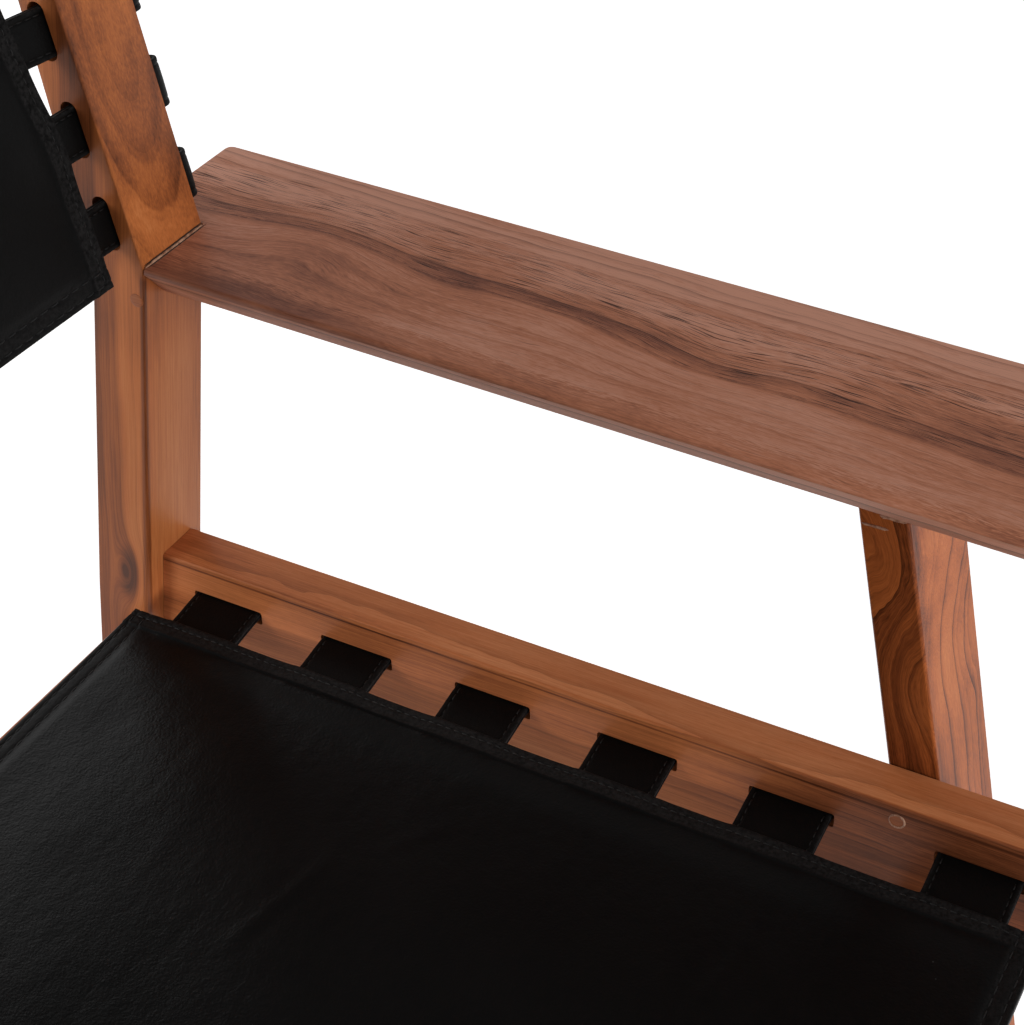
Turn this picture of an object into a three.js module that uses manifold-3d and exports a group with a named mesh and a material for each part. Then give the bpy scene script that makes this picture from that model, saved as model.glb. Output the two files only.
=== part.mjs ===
// Lounge chair: a hardwood frame with a leather seat sling and a leather back sling.
// Each sling hangs on short leather tabs. A tab passes through a slot in the frame and is
// doubled back round a wooden dowel, which keeps it from pulling through.
// Millimetres and degrees. +Z is up, the sitter faces -Y and the sitter's left is +X.
// The origin is on the floor, under the middle of the chair.
import * as THREE from 'three';
import { mergeVertices } from 'three/addons/utils/BufferGeometryUtils.js';
import Module from 'manifold-3d';

// Driving dimensions: fits
const FIT = 0.3; // gap left between two pieces that touch
const EDGE_EASE = 1.2; // chamfer on the long edges of the timber
const SKIN = 2.6; // thickness of the sling leather
const STRAP = 4.4; // thickness of a doubled tab

// Driving dimensions: rear posts, each one bent piece from the foot to the top of the back
const ARM_HEIGHT = 560; // floor to the top of the armrests, where the posts bend
const POST_SPACING = 520; // between the inner faces of the two posts
const POST_WIDTH = 51; // across the chair
const POST_DEPTH = 32; // fore and aft, at the bend and the foot
const POST_RAIL_DEPTH = 36.6; // fore and aft at the seat rail, where the post is broadest
const POST_RAIL_LEAD = 1.7; // how far the post swells forward there
const POST_TOP_DEPTH = 24.6; // fore and aft, above the taper
const POST_TAPER = 140; // height above the bend over which the post thins
const LEG_RAKE = 7.2; // the foot stands behind the bend
const BACK_RECLINE = 13.1; // the top leans behind the bend
const BEND_BLEND = 30; // length over which the rear of the bend is rounded

// Driving dimensions: seat rails and front legs
const RAIL_WIDTH = 28;
const RAIL_HEIGHT = 55;
const RAIL_SLOPE = 1.7; // the seat rises towards the front
const RAIL_DROP = 203; // armrest top to rail top at the rear post
const RAIL_INSET = 13.3; // post inner face to rail inner face
const RAIL_NOSE = 22; // rail in front of the last tab
const FRONT_LEG_WIDTH = 68.5;
const FRONT_LEG_THICKNESS = 24.2;
const FRONT_LEG_RAKE = 13; // the foot stands in front of the top
const FRONT_LEG_FLARE = 2.1; // how far its rear face swells from the armrest down to the rail
const LEG_GAP_BEHIND = 23.4; // last regular tab to the front leg
const LEG_GAP_AHEAD = 6.8; // front leg to the foremost tab

// Driving dimensions: armrests
const ARM_THICKNESS = 23;
const ARM_CHAMFER = 17.5; // underside bevel on both long edges and on the front end
const ARM_EDGE = 3.6; // upright inner edge, above the bevel
const ARM_ROLL = 9; // radius of the round on the inner top edge
const ARM_ROLL_REAR = 1; // how far in the round reaches beside the post
const ARM_ROLL_FRONT = 8; // and at the front end
const ARM_LEG_MARGIN = 1.7; // front leg to the outer bevel
const ARM_OVERHANG = 6; // armrest in front of the seat rail
const ARM_TAIL = 38.2; // armrest beside the post, behind the bend
const ARM_FRONT_RADIUS = 14;
const ARM_REAR_RADIUS = 6;

// Driving dimensions: cross rails, and the tenons that hold the frame together
const STRETCHER_DROP = 60; // rail top to stretcher top
const STRETCHER_HEIGHT = 50;
const REAR_STRETCHER_THICKNESS = 22;
const FRONT_STRETCHER_THICKNESS = 19;
const TOP_RAIL_HEIGHT = 44;
const TOP_RAIL_THICKNESS = 16;
const TOP_RAIL_INSET = 8; // below the tops of the posts
const TENON_THICKNESS = 10;
const TENON_LENGTH = 20;
const TENON_SHOULDER = 10; // rail edge to tenon edge
const TOP_TENON_THICKNESS = 7;
const ARM_TENON_HEIGHT = 11;
const ARM_TENON_SHOULDER = 16; // leg edge to tenon edge
const PLUG_RADIUS = 4;
const PLUG_LENGTH = 8;
const PLUG_DROP = 9; // rail top to the plug's middle

// Driving dimensions: seat sling
const SEAT_TABS = 6;
const SEAT_TAB_WIDTH = 43;
const SEAT_TAB_PITCH = 86;
const SEAT_TAB_START = 22.2; // rear post to the first tab
const SEAT_TAB_SPAN = 27; // bare tab between the rail and the sling
const SEAT_TAB_DROP = 22.8; // rail top to the middle of the tabs where they leave the rail
const SEAT_EDGE_DROP = 24; // rail top to the top of the sling's edge
const SEAT_SAG = 2.5;
const SEAT_REAR_MARGIN = 23.2; // sling behind the first tab
const SEAT_FRONT_MARGIN = 18.7; // sling in front of the last tab
const SEAT_DOWEL_RADIUS = 6;

// Driving dimensions: back sling
const BACK_TABS = 5;
const BACK_TAB_WIDTH = 25;
const BACK_TAB_PITCH = 50;
const BACK_TAB_START = 11.9; // armrest top to the lowest tab, along the post
const BACK_TAB_SPAN = 15; // bare tab between the post and the sling
const BACK_SLOT_DEPTH = 14.7; // post front face to the middle of the slots
const BACK_TAB_DEPTH = 13.2; // post front face to the middle of the tabs where they leave the post
const BACK_EDGE_DEPTH = 9; // post front face to the front of the sling's edge
const BACK_BELLY = 5;
const BACK_MARGIN = 15.3; // sling below the lowest tab and above the highest
const BACK_DOWEL_RADIUS = 5;
const POST_CROWN = 58; // post above the sling

// Driving dimensions: tabs, slots and dowels
const SEAT_SLOT_HEIGHT = 8.9;
const SEAT_SLOT_ROOM = 1.25; // tab's middle above the slot's middle
const SEAT_SLOT_END = 1.5; // slot beyond each edge of its tab
const SEAT_SLOT_CORNER = 1.5;
const BACK_SLOT_HEIGHT = 10;
const BACK_SLOT_END = 2.3; // slot beyond each edge of its tab
const BACK_SLOT_CORNER = 4.8;
const CORNER_SHARE = 0.48; // the most of a slot's height that one corner may take
const HEM_LAP = 14; // tab sewn under the sling's hem
const DOWEL_RECESS = 0.8; // dowel inside each edge of its tab
const DOWEL_CHAMFER = 1;

// Facets
const ROUND_STEPS = 8;
const DOWEL_SIDES = 14;
const SAG_STEPS = 24;
const WELD = 1e-4; // corners closer than this are one corner

// Finishes
const TEAK = { color: 0x9a6240, roughness: 0.42, metalness: 0 };
const TEAK_PALE = { color: 0xb07a52, roughness: 0.55, metalness: 0 };
const LEATHER = { color: 0x141213, roughness: 0.38, metalness: 0 };

const X = new THREE.Vector3(1, 0, 0);
const Y = new THREE.Vector3(0, 1, 0);
const Z = new THREE.Vector3(0, 0, 1);
const radians = THREE.MathUtils.degToRad;
const rake = radians(LEG_RAKE);
const recline = radians(BACK_RECLINE);
const slope = radians(RAIL_SLOPE);
const frontRake = radians(FRONT_LEG_RAKE);

const wasm = await Module();
wasm.setup();

// A closed geometry as a solid that can be joined and cut
function solidOf(geometry) {
  const bare = geometry.clone();
  bare.deleteAttribute('normal');
  bare.deleteAttribute('uv');
  const merged = mergeVertices(bare, WELD);
  const vertProperties = new Float32Array(merged.attributes.position.array);
  const triVerts = new Uint32Array(merged.index.array);
  return new wasm.Manifold(new wasm.Mesh({ numProp: 3, vertProperties, triVerts }));
}

// A solid as a geometry that a mesh can show
function geometryOf(solid) {
  const mesh = solid.getMesh();
  const geometry = new THREE.BufferGeometry();
  geometry.setAttribute('position', new THREE.BufferAttribute(mesh.vertProperties, 3));
  geometry.setIndex(new THREE.BufferAttribute(mesh.triVerts, 1));
  geometry.computeVertexNormals();
  return geometry;
}

// A solid with every cutter taken away
function cut(solid, cutters) {
  return cutters.reduce((left, cutter) => left.subtract(solidOf(cutter)), solid);
}

// A tilted frame of reference, turned about the chair's cross axis
function frameAt(y, z, angle) {
  const frame = new THREE.Group();
  frame.position.set(0, y, z);
  frame.rotation.x = angle;
  frame.updateMatrix();
  return frame;
}

function shapeThrough(points) {
  return new THREE.Shape(points.map(([u, v]) => new THREE.Vector2(u, v)));
}

function extrude(shape, depth, ease) {
  return new THREE.ExtrudeGeometry(shape, {
    depth: depth - 2 * ease,
    bevelEnabled: ease > 0,
    bevelThickness: ease,
    bevelSize: ease,
    bevelOffset: -ease,
    bevelSegments: 1,
    curveSegments: ROUND_STEPS,
  }).translate(0, 0, ease);
}

// A profile drawn in (y, z) and swept along +X from low to high
const ALONG_X = new THREE.Matrix4().makeBasis(Y, Z, X);
function sweepX(shape, low, high, ease = 0) {
  return extrude(shape, high - low, ease).applyMatrix4(ALONG_X).translate(low, 0, 0);
}

// A profile drawn in (x, z) and swept along -Y from rear to front
const ALONG_Y = new THREE.Matrix4().makeBasis(X, Z, Y.clone().negate());
function sweepY(shape, rear, front) {
  return extrude(shape, rear - front, 0).applyMatrix4(ALONG_Y).translate(0, rear, 0);
}

// A profile drawn in (x, y) and swept along +Z from low to high
function sweepZ(shape, low, high, ease = 0) {
  return extrude(shape, high - low, ease).translate(0, 0, low);
}

function box(low, high) {
  const size = high.map((value, axis) => value - low[axis]);
  const middle = high.map((value, axis) => (value + low[axis]) / 2);
  return new THREE.BoxGeometry(...size).translate(...middle);
}

// A point on the way from one corner to the next, at a set distance
function along(from, to, distance) {
  return to.clone().sub(from).setLength(distance).add(from);
}

// A closed outline through the corners, each of them chamfered
function easedOutline(corners) {
  const points = corners.map(([u, v]) => new THREE.Vector2(u, v));
  return new THREE.Shape(points.flatMap((corner, index) => {
    const before = points.at(index - 1);
    const after = points[(index + 1) % points.length];
    return [along(corner, before, EDGE_EASE), along(corner, after, EDGE_EASE)];
  }));
}

// A slot with rounded corners, its length along the first axis of the profile
function slotShape(length, height, corner) {
  const radius = Math.min(corner, CORNER_SHARE * height);
  const u = length / 2 - radius;
  const v = height / 2 - radius;
  const shape = new THREE.Shape();
  shape.absarc(u, -v, radius, -Math.PI / 2, 0, false);
  shape.absarc(u, v, radius, 0, Math.PI / 2, false);
  shape.absarc(-u, v, radius, Math.PI / 2, Math.PI, false);
  shape.absarc(-u, -v, radius, Math.PI, 1.5 * Math.PI, false);
  shape.closePath();
  return shape;
}

// Places that several pieces share, on the sitter's left
const postInner = POST_SPACING / 2;
const postOuter = postInner + POST_WIDTH;
const railInner = postInner + RAIL_INSET;
const railOuter = railInner + RAIL_WIDTH;
const legInner = railOuter + FIT;
const legOuter = legInner + FRONT_LEG_WIDTH;
const armOuter = legOuter + ARM_LEG_MARGIN + ARM_CHAMFER;
const armUnder = ARM_HEIGHT - ARM_THICKNESS;

// Distances along the back, from the armrest top
const backTabLow = (index) => BACK_TAB_START + index * BACK_TAB_PITCH;
const backLow = BACK_TAB_START - BACK_MARGIN;
const backHigh = backTabLow(BACK_TABS - 1) + BACK_TAB_WIDTH + BACK_MARGIN;
const backRise = backHigh + POST_CROWN;

// Distances along the seat, forward from the rear post. The last tab clears the front leg.
const legRun = FRONT_LEG_THICKNESS / Math.cos(frontRake);
const lastTab = SEAT_TABS - 1;
const regularEnd = SEAT_TAB_START + (lastTab - 1) * SEAT_TAB_PITCH + SEAT_TAB_WIDTH;
const lastTabStart = regularEnd + LEG_GAP_BEHIND + legRun + LEG_GAP_AHEAD;
const seatTabStart = (index) => (index < lastTab ? SEAT_TAB_START + index * SEAT_TAB_PITCH : lastTabStart);
const railLength = lastTabStart + SEAT_TAB_WIDTH + RAIL_NOSE;

// The seat's frame starts on the post's front face, level with the rail top. The back's frame
// starts at the bend.
const railTop = ARM_HEIGHT - RAIL_DROP;
const postFrontAt = (height) => (ARM_HEIGHT - height) * Math.tan(rake);
const seatFrame = frameAt(postFrontAt(railTop), railTop, -slope);
const backFrame = frameAt(0, ARM_HEIGHT, -recline);

// The front face of the front leg, from where it passes the foremost slot
const legMark = new THREE.Vector3(0, LEG_GAP_AHEAD - lastTabStart, -SEAT_TAB_DROP)
  .applyMatrix4(seatFrame.matrix);
const legFrontAt = (height) => legMark.y + (height - legMark.z) * Math.tan(frontRake);
const armFront = seatFrame.position.y - railLength * Math.cos(slope) - ARM_OVERHANG;

// Rear posts
// A point beside the post above the bend: its height along the post and its depth behind the front face
const backPoint = (rise, depth) => new THREE.Vector2(
  rise * Math.sin(recline) + depth * Math.cos(recline),
  ARM_HEIGHT + rise * Math.cos(recline) - depth * Math.sin(recline),
);

// A line down the post. Its depths behind the plain front face are those of the bend and foot, of the
// upper end and of the seat rail.
const hipHeight = railTop - RAIL_HEIGHT / 2;
function postLine(depth, topDepth, hipDepth) {
  const legOut = new THREE.Vector2(Math.cos(rake), Math.sin(rake));
  const backOut = new THREE.Vector2(Math.cos(recline), -Math.sin(recline));
  const miter = legOut.clone().add(backOut).multiplyScalar(depth / (1 + legOut.dot(backOut)));
  return {
    foot: new THREE.Vector2(postFrontAt(0) + depth / Math.cos(rake), 0),
    hip: new THREE.Vector2(postFrontAt(hipHeight) + hipDepth / Math.cos(rake), hipHeight),
    bend: new THREE.Vector2(0, ARM_HEIGHT).add(miter),
    waist: backPoint(POST_TAPER, topDepth),
    top: backPoint(backRise, topDepth),
  };
}
const frontLine = (gap) => postLine(-gap, -gap, -gap - POST_RAIL_LEAD);
const rearLine = (gap) => postLine(
  POST_DEPTH + gap, POST_TOP_DEPTH + gap, POST_RAIL_DEPTH - POST_RAIL_LEAD + gap,
);

// The rounded bend on the rear of the post
function rearBend(gap) {
  const { hip, bend, waist } = rearLine(gap);
  return new THREE.QuadraticBezierCurve(along(bend, waist, BEND_BLEND), bend, along(bend, hip, BEND_BLEND));
}

// The post's side view. A positive gap grows it all round for the notch that fits over it.
function postShape(gap = 0) {
  const front = frontLine(gap);
  const rear = rearLine(gap);
  return new THREE.Shape([
    along(front.foot, rear.foot, EDGE_EASE), along(front.foot, front.hip, EDGE_EASE),
    front.hip, front.bend,
    along(front.top, front.bend, EDGE_EASE), along(front.top, rear.top, EDGE_EASE),
    along(rear.top, front.top, EDGE_EASE), along(rear.top, rear.waist, EDGE_EASE),
    rear.waist,
    ...rearBend(gap).getPoints(ROUND_STEPS),
    rear.hip,
    along(rear.foot, rear.hip, EDGE_EASE), along(rear.foot, front.foot, EDGE_EASE),
  ]);
}

// Slots through the post, one for each back tab
function backSlots() {
  const shape = slotShape(BACK_TAB_WIDTH + 2 * BACK_SLOT_END, BACK_SLOT_HEIGHT, BACK_SLOT_CORNER);
  return Array.from({ length: BACK_TABS }, (unused, index) =>
    sweepX(shape, postInner - POST_WIDTH, postOuter + POST_WIDTH)
      .rotateX(Math.PI / 2)
      .translate(0, BACK_SLOT_DEPTH, backTabLow(index) + BACK_TAB_WIDTH / 2)
      .applyMatrix4(backFrame.matrix));
}

// Tenons. Each is drawn once, and grown by the fit for its mortise.
const railMiddle = (railInner + railOuter) / 2;
function railTenon(grow) {
  const half = TENON_THICKNESS / 2 + grow;
  return box(
    [railMiddle - half, -TENON_LENGTH, -RAIL_HEIGHT + TENON_SHOULDER - grow],
    [railMiddle + half, TENON_LENGTH + grow, -TENON_SHOULDER + grow],
  );
}

function crossTenon(cross, grow) {
  const middle = cross.setBack + cross.thickness / 2;
  const half = cross.tenon / 2 + grow;
  const reach = cross.end + TENON_LENGTH + grow;
  return box(
    [-reach, middle - half, -cross.height + TENON_SHOULDER - grow],
    [reach, middle + half, -TENON_SHOULDER + grow],
  );
}

function armTenon(grow) {
  const half = TENON_THICKNESS / 2 + grow;
  const middle = legFrontAt(armUnder) + legRun / 2;
  return box(
    [legInner + ARM_TENON_SHOULDER - grow, middle - half, armUnder - ARM_TENON_HEIGHT],
    [legOuter - ARM_TENON_SHOULDER + grow, middle + half, armUnder + ARM_TENON_HEIGHT + grow],
  );
}

// Cross rails. Each lies in its own tilted frame, with its top front edge on the frame's origin.
const rearStretcherTop = railTop - STRETCHER_DROP;
const rearStretcher = {
  name: 'rear_stretcher',
  frame: frameAt(postFrontAt(rearStretcherTop), rearStretcherTop, rake),
  end: postInner,
  setBack: 0,
  thickness: REAR_STRETCHER_THICKNESS,
  height: STRETCHER_HEIGHT,
  tenon: TENON_THICKNESS,
};
const frontStretcherTop = legMark.z + SEAT_TAB_DROP - STRETCHER_DROP;
const frontStretcher = {
  name: 'front_stretcher',
  frame: frameAt(legFrontAt(frontStretcherTop), frontStretcherTop, -frontRake),
  end: legInner,
  setBack: (FRONT_LEG_THICKNESS - FRONT_STRETCHER_THICKNESS) / 2,
  thickness: FRONT_STRETCHER_THICKNESS,
  height: STRETCHER_HEIGHT,
  tenon: TENON_THICKNESS,
};
const topRailHigh = backFrame.position.clone().addScaledVector(
  new THREE.Vector3(0, Math.sin(recline), Math.cos(recline)), backRise - TOP_RAIL_INSET);
const topRail = {
  name: 'back_top_rail',
  frame: frameAt(topRailHigh.y, topRailHigh.z, -recline),
  end: postInner,
  setBack: (POST_TOP_DEPTH - TOP_RAIL_THICKNESS) / 2,
  thickness: TOP_RAIL_THICKNESS,
  height: TOP_RAIL_HEIGHT,
  tenon: TOP_TENON_THICKNESS,
};
const inFrame = (geometry, frame) => geometry.applyMatrix4(frame.matrix);

function crossRail(cross) {
  const { setBack, thickness, height, end } = cross;
  const far = setBack + thickness;
  const section = easedOutline([[setBack, -height], [far, -height], [far, 0], [setBack, 0]]);
  const bar = solidOf(sweepX(section, FIT - end, end - FIT));
  return bar.add(solidOf(crossTenon(cross, 0)));
}

function rearPost() {
  const post = solidOf(sweepX(postShape(), postInner, postOuter, EDGE_EASE));
  return cut(post, [
    ...backSlots(),
    inFrame(railTenon(FIT), seatFrame),
    inFrame(crossTenon(rearStretcher, FIT), rearStretcher.frame),
    inFrame(crossTenon(topRail, FIT), topRail.frame),
  ]);
}

// Seat rails, drawn in the seat's frame. A plug faces the middle of the front leg.
function plugGeometry(radius, length) {
  const lean = (SEAT_TAB_DROP - PLUG_DROP) * Math.tan(frontRake - slope);
  const forward = lastTabStart - LEG_GAP_AHEAD - legRun / 2 - lean;
  return new THREE.CylinderGeometry(radius, radius, length, 2 * ROUND_STEPS)
    .rotateZ(Math.PI / 2)
    .translate(railInner + length / 2, -forward, -PLUG_DROP);
}

// The rail's rear end is cut to the shape of the post
function seatRail() {
  const profile = easedOutline([
    [POST_DEPTH / 2, 0], [POST_DEPTH / 2, -RAIL_HEIGHT], [-railLength, -RAIL_HEIGHT], [-railLength, 0],
  ]);
  const post = sweepX(postShape(FIT), railInner - RAIL_WIDTH, railOuter + RAIL_WIDTH)
    .applyMatrix4(seatFrame.matrix.clone().invert());
  const bar = cut(solidOf(sweepX(profile, railInner, railOuter, EDGE_EASE)), [post]);
  const rail = bar.add(solidOf(railTenon(0)));
  const slot = slotShape(SEAT_TAB_WIDTH + 2 * SEAT_SLOT_END, SEAT_SLOT_HEIGHT, SEAT_SLOT_CORNER);
  const slots = Array.from({ length: SEAT_TABS }, (unused, index) =>
    sweepX(slot, railInner - RAIL_WIDTH, railOuter + RAIL_WIDTH)
      .translate(0, -seatTabStart(index) - SEAT_TAB_WIDTH / 2, -SEAT_TAB_DROP - SEAT_SLOT_ROOM));
  const bore = plugGeometry(PLUG_RADIUS + FIT, PLUG_LENGTH + FIT);
  return cut(rail, [...slots, bore]);
}

// Front legs, standing against the outer face of the rails
function frontLeg() {
  const high = armUnder - FIT;
  const swollen = legRun + FRONT_LEG_FLARE;
  const profile = easedOutline([
    [legFrontAt(0), 0], [legFrontAt(high), high], [legFrontAt(high) + legRun, high],
    [legFrontAt(legMark.z) + swollen, legMark.z], [legFrontAt(0) + swollen, 0],
  ]);
  const leg = solidOf(sweepX(profile, legInner, legOuter, EDGE_EASE));
  const mortise = inFrame(crossTenon(frontStretcher, FIT), frontStretcher.frame);
  return cut(leg.add(solidOf(armTenon(0))), [mortise]);
}

// What the round on an armrest's inner top edge takes away, more and more towards the front
function edgeRound() {
  const round = new THREE.Shape();
  round.moveTo(0, ARM_THICKNESS);
  round.lineTo(-ARM_ROLL, ARM_THICKNESS);
  round.lineTo(-ARM_ROLL, -ARM_ROLL);
  round.absarc(0, -ARM_ROLL, ARM_ROLL, Math.PI, Math.PI / 2, true);
  round.closePath();
  const growth = (ARM_ROLL_FRONT - ARM_ROLL_REAR) / armFront;
  return sweepY(round, ARM_TAIL, armFront - ARM_ROLL)
    .applyMatrix4(new THREE.Matrix4().makeShear(0, 0, growth, 0, 0, 0))
    .translate(postInner + ARM_ROLL_REAR, 0, ARM_HEIGHT);
}

// Armrests: a plank that is bevelled underneath, and notched to pass in front of the post and beside it
function armrest() {
  const rear = ARM_TAIL;
  const section = shapeThrough([
    [postInner, ARM_HEIGHT], [postInner, ARM_HEIGHT - ARM_EDGE], [postInner + ARM_CHAMFER, armUnder],
    [armOuter - ARM_CHAMFER, armUnder], [armOuter, armUnder + ARM_CHAMFER], [armOuter, ARM_HEIGHT],
  ]);
  const plan = new THREE.Shape();
  plan.moveTo(postInner, rear);
  plan.lineTo(armOuter - ARM_REAR_RADIUS, rear);
  plan.quadraticCurveTo(armOuter, rear, armOuter, rear - ARM_REAR_RADIUS);
  plan.lineTo(armOuter, armFront + ARM_FRONT_RADIUS);
  plan.quadraticCurveTo(armOuter, armFront, armOuter - ARM_FRONT_RADIUS, armFront);
  plan.lineTo(postInner + ARM_FRONT_RADIUS, armFront);
  plan.quadraticCurveTo(postInner, armFront, postInner, armFront + ARM_FRONT_RADIUS);
  plan.closePath();
  const nose = shapeThrough([
    [rear, ARM_HEIGHT], [rear, armUnder], [armFront + ARM_CHAMFER, armUnder],
    [armFront, armUnder + ARM_CHAMFER], [armFront, ARM_HEIGHT],
  ]);
  const plank = solidOf(sweepY(section, rear, armFront))
    .intersect(solidOf(sweepZ(plan, armUnder - ARM_THICKNESS, ARM_HEIGHT, EDGE_EASE)))
    .intersect(solidOf(sweepX(nose, postInner, armOuter)));
  const notch = sweepX(postShape(FIT), postInner - POST_WIDTH, postOuter + FIT);
  const behind = box(
    [postInner - POST_WIDTH, POST_DEPTH / 2, armUnder - ARM_THICKNESS],
    [postOuter + FIT, rear + POST_DEPTH, ARM_HEIGHT + ARM_THICKNESS],
  );
  return cut(plank, [notch, behind, edgeRound(), armTenon(FIT)]);
}

// Slings: a leather sheet that hangs in a shallow curve between its two edges
const seatHalf = railInner - SEAT_TAB_SPAN;
const backHalf = postInner - BACK_TAB_SPAN;
const hang = (depth, half, x) => depth * (1 - (x / half) ** 2);

function slingShape(half, edge, depth, outward) {
  const across = Array.from({ length: SAG_STEPS + 1 }, (unused, step) => half * (2 * step / SAG_STEPS - 1));
  const face = across.map((x) => [x, outward * (edge + hang(depth, half, x))]);
  const underside = face.map(([x, level]) => [x, level + outward * SKIN]).reverse();
  return shapeThrough([...face, ...underside]);
}

function seatSling() {
  const rear = SEAT_REAR_MARGIN - SEAT_TAB_START;
  const front = -lastTabStart - SEAT_TAB_WIDTH - SEAT_FRONT_MARGIN;
  return sweepY(slingShape(seatHalf, SEAT_EDGE_DROP, SEAT_SAG, -1), rear, front);
}

function backSling() {
  return sweepZ(slingShape(backHalf, BACK_EDGE_DEPTH, BACK_BELLY, 1), backLow, backHigh);
}

// Tabs and dowels. A tab's profile starts at the frame's outer face: the ring round the dowel
// lies outside it, and the doubled strap runs inwards through the slot to the sling's hem.
const ringRadius = (dowel) => dowel + FIT + STRAP / 2;
const dowelReach = ({ dowel, near }) => Math.sqrt(ringRadius(dowel) ** 2 - near ** 2) + FIT;

function tabShape(tab) {
  const { dowel, frameWidth, span, hemShift, lapShift } = tab;
  const ring = ringRadius(dowel);
  const reach = dowelReach(tab);
  const mouth = Math.asin(STRAP / 2 / ring);
  const line = [
    [-frameWidth, 0], [-frameWidth - span, hemShift], [-frameWidth - span - HEM_LAP, hemShift + lapShift],
  ];
  const shape = new THREE.Shape();
  shape.absarc(reach, 0, ring, Math.PI - mouth, mouth - Math.PI, true);
  line.forEach(([u, v]) => shape.lineTo(u, v - STRAP / 2));
  line.reverse().forEach(([u, v]) => shape.lineTo(u, v + STRAP / 2));
  shape.closePath();
  shape.holes.push(new THREE.Path().absarc(reach, 0, dowel + FIT, 0, 2 * Math.PI, false));
  return shape;
}

// The nearer long edge of its slot is where a ring rests on the frame
const seatTab = {
  dowel: SEAT_DOWEL_RADIUS,
  near: SEAT_SLOT_HEIGHT / 2 - SEAT_SLOT_ROOM,
  frameWidth: RAIL_WIDTH,
  span: SEAT_TAB_SPAN,
  hemShift: SEAT_TAB_DROP - SEAT_EDGE_DROP - SKIN - FIT - STRAP / 2,
  lapShift: -hang(SEAT_SAG, seatHalf, seatHalf - HEM_LAP),
};
const backTab = {
  dowel: BACK_DOWEL_RADIUS,
  near: BACK_SLOT_HEIGHT / 2 - BACK_SLOT_DEPTH + BACK_TAB_DEPTH,
  frameWidth: POST_WIDTH,
  span: BACK_TAB_SPAN,
  hemShift: BACK_EDGE_DEPTH + SKIN + FIT + STRAP / 2 - BACK_TAB_DEPTH,
  lapShift: hang(BACK_BELLY, backHalf, backHalf - HEM_LAP),
};
const seatTabGeometry = sweepY(tabShape(seatTab), 0, -SEAT_TAB_WIDTH)
  .translate(railOuter, 0, -SEAT_TAB_DROP);
const backTabGeometry = sweepZ(tabShape(backTab), 0, BACK_TAB_WIDTH)
  .translate(postOuter, BACK_TAB_DEPTH, 0);

// A dowel stands along +Y, with chamfered ends, from the tab's rear edge to its front edge
function dowelGeometry(radius, tabWidth) {
  const half = tabWidth / 2 - DOWEL_RECESS;
  const profile = [
    [0, -half], [radius - DOWEL_CHAMFER, -half], [radius, DOWEL_CHAMFER - half],
    [radius, half - DOWEL_CHAMFER], [radius - DOWEL_CHAMFER, half], [0, half],
  ];
  return new THREE.LatheGeometry(profile.map(([r, y]) => new THREE.Vector2(r, y)), DOWEL_SIDES);
}
const seatDowelGeometry = dowelGeometry(SEAT_DOWEL_RADIUS, SEAT_TAB_WIDTH)
  .translate(railOuter + dowelReach(seatTab), -SEAT_TAB_WIDTH / 2, -SEAT_TAB_DROP);
const backDowelGeometry = dowelGeometry(BACK_DOWEL_RADIUS, BACK_TAB_WIDTH)
  .rotateX(Math.PI / 2)
  .translate(postOuter + dowelReach(backTab), BACK_TAB_DEPTH, BACK_TAB_WIDTH / 2);

// Assembly. The two sides share their geometry, and the right one is a mirror of the left.
function piece(name, geometry, finish) {
  const mesh = new THREE.Mesh(geometry, new THREE.MeshStandardMaterial(finish));
  mesh.name = name;
  return mesh;
}

const sideGeometry = {
  rear_post: geometryOf(rearPost()),
  front_leg: geometryOf(frontLeg()),
  armrest: geometryOf(armrest()),
  seat_rail: geometryOf(seatRail()),
  rail_plug: plugGeometry(PLUG_RADIUS, PLUG_LENGTH),
};

function chairSide(side) {
  const group = new THREE.Group();
  group.scale.x = side === 'left' ? 1 : -1;
  for (const name of ['rear_post', 'front_leg', 'armrest']) {
    group.add(piece(`${name}_${side}`, sideGeometry[name], TEAK));
  }
  const seat = new THREE.Group().copy(seatFrame, false);
  seat.add(piece(`seat_rail_${side}`, sideGeometry.seat_rail, TEAK));
  seat.add(piece(`rail_plug_${side}`, sideGeometry.rail_plug, TEAK));
  for (let index = 0; index < SEAT_TABS; index += 1) {
    const tab = piece(`seat_tab_${side}_${index + 1}`, seatTabGeometry, LEATHER);
    const dowel = piece(`seat_dowel_${side}_${index + 1}`, seatDowelGeometry, TEAK_PALE);
    tab.position.y = -seatTabStart(index);
    dowel.position.y = -seatTabStart(index);
    seat.add(tab, dowel);
  }
  const back = new THREE.Group().copy(backFrame, false);
  for (let index = 0; index < BACK_TABS; index += 1) {
    const tab = piece(`back_tab_${side}_${index + 1}`, backTabGeometry, LEATHER);
    const dowel = piece(`back_dowel_${side}_${index + 1}`, backDowelGeometry, TEAK_PALE);
    tab.position.z = backTabLow(index);
    dowel.position.z = backTabLow(index);
    back.add(tab, dowel);
  }
  return group.add(seat, back);
}

const frame = new THREE.Group().add(chairSide('left'), chairSide('right'));
for (const cross of [rearStretcher, frontStretcher, topRail]) {
  frame.add(cross.frame.add(piece(cross.name, geometryOf(crossRail(cross)), TEAK)));
}
frame.add(seatFrame.add(piece('seat_sling', seatSling(), LEATHER)));
frame.add(backFrame.add(piece('back_sling', backSling(), LEATHER)));

// The floor under the middle of the chair is the origin
const chair = new THREE.Group().add(frame);
chair.updateMatrixWorld(true);
const bounds = new THREE.Box3().setFromObject(frame, true);
const middle = bounds.getCenter(new THREE.Vector3());
frame.position.set(-middle.x, -middle.y, -bounds.min.z);

export default chair;
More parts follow.
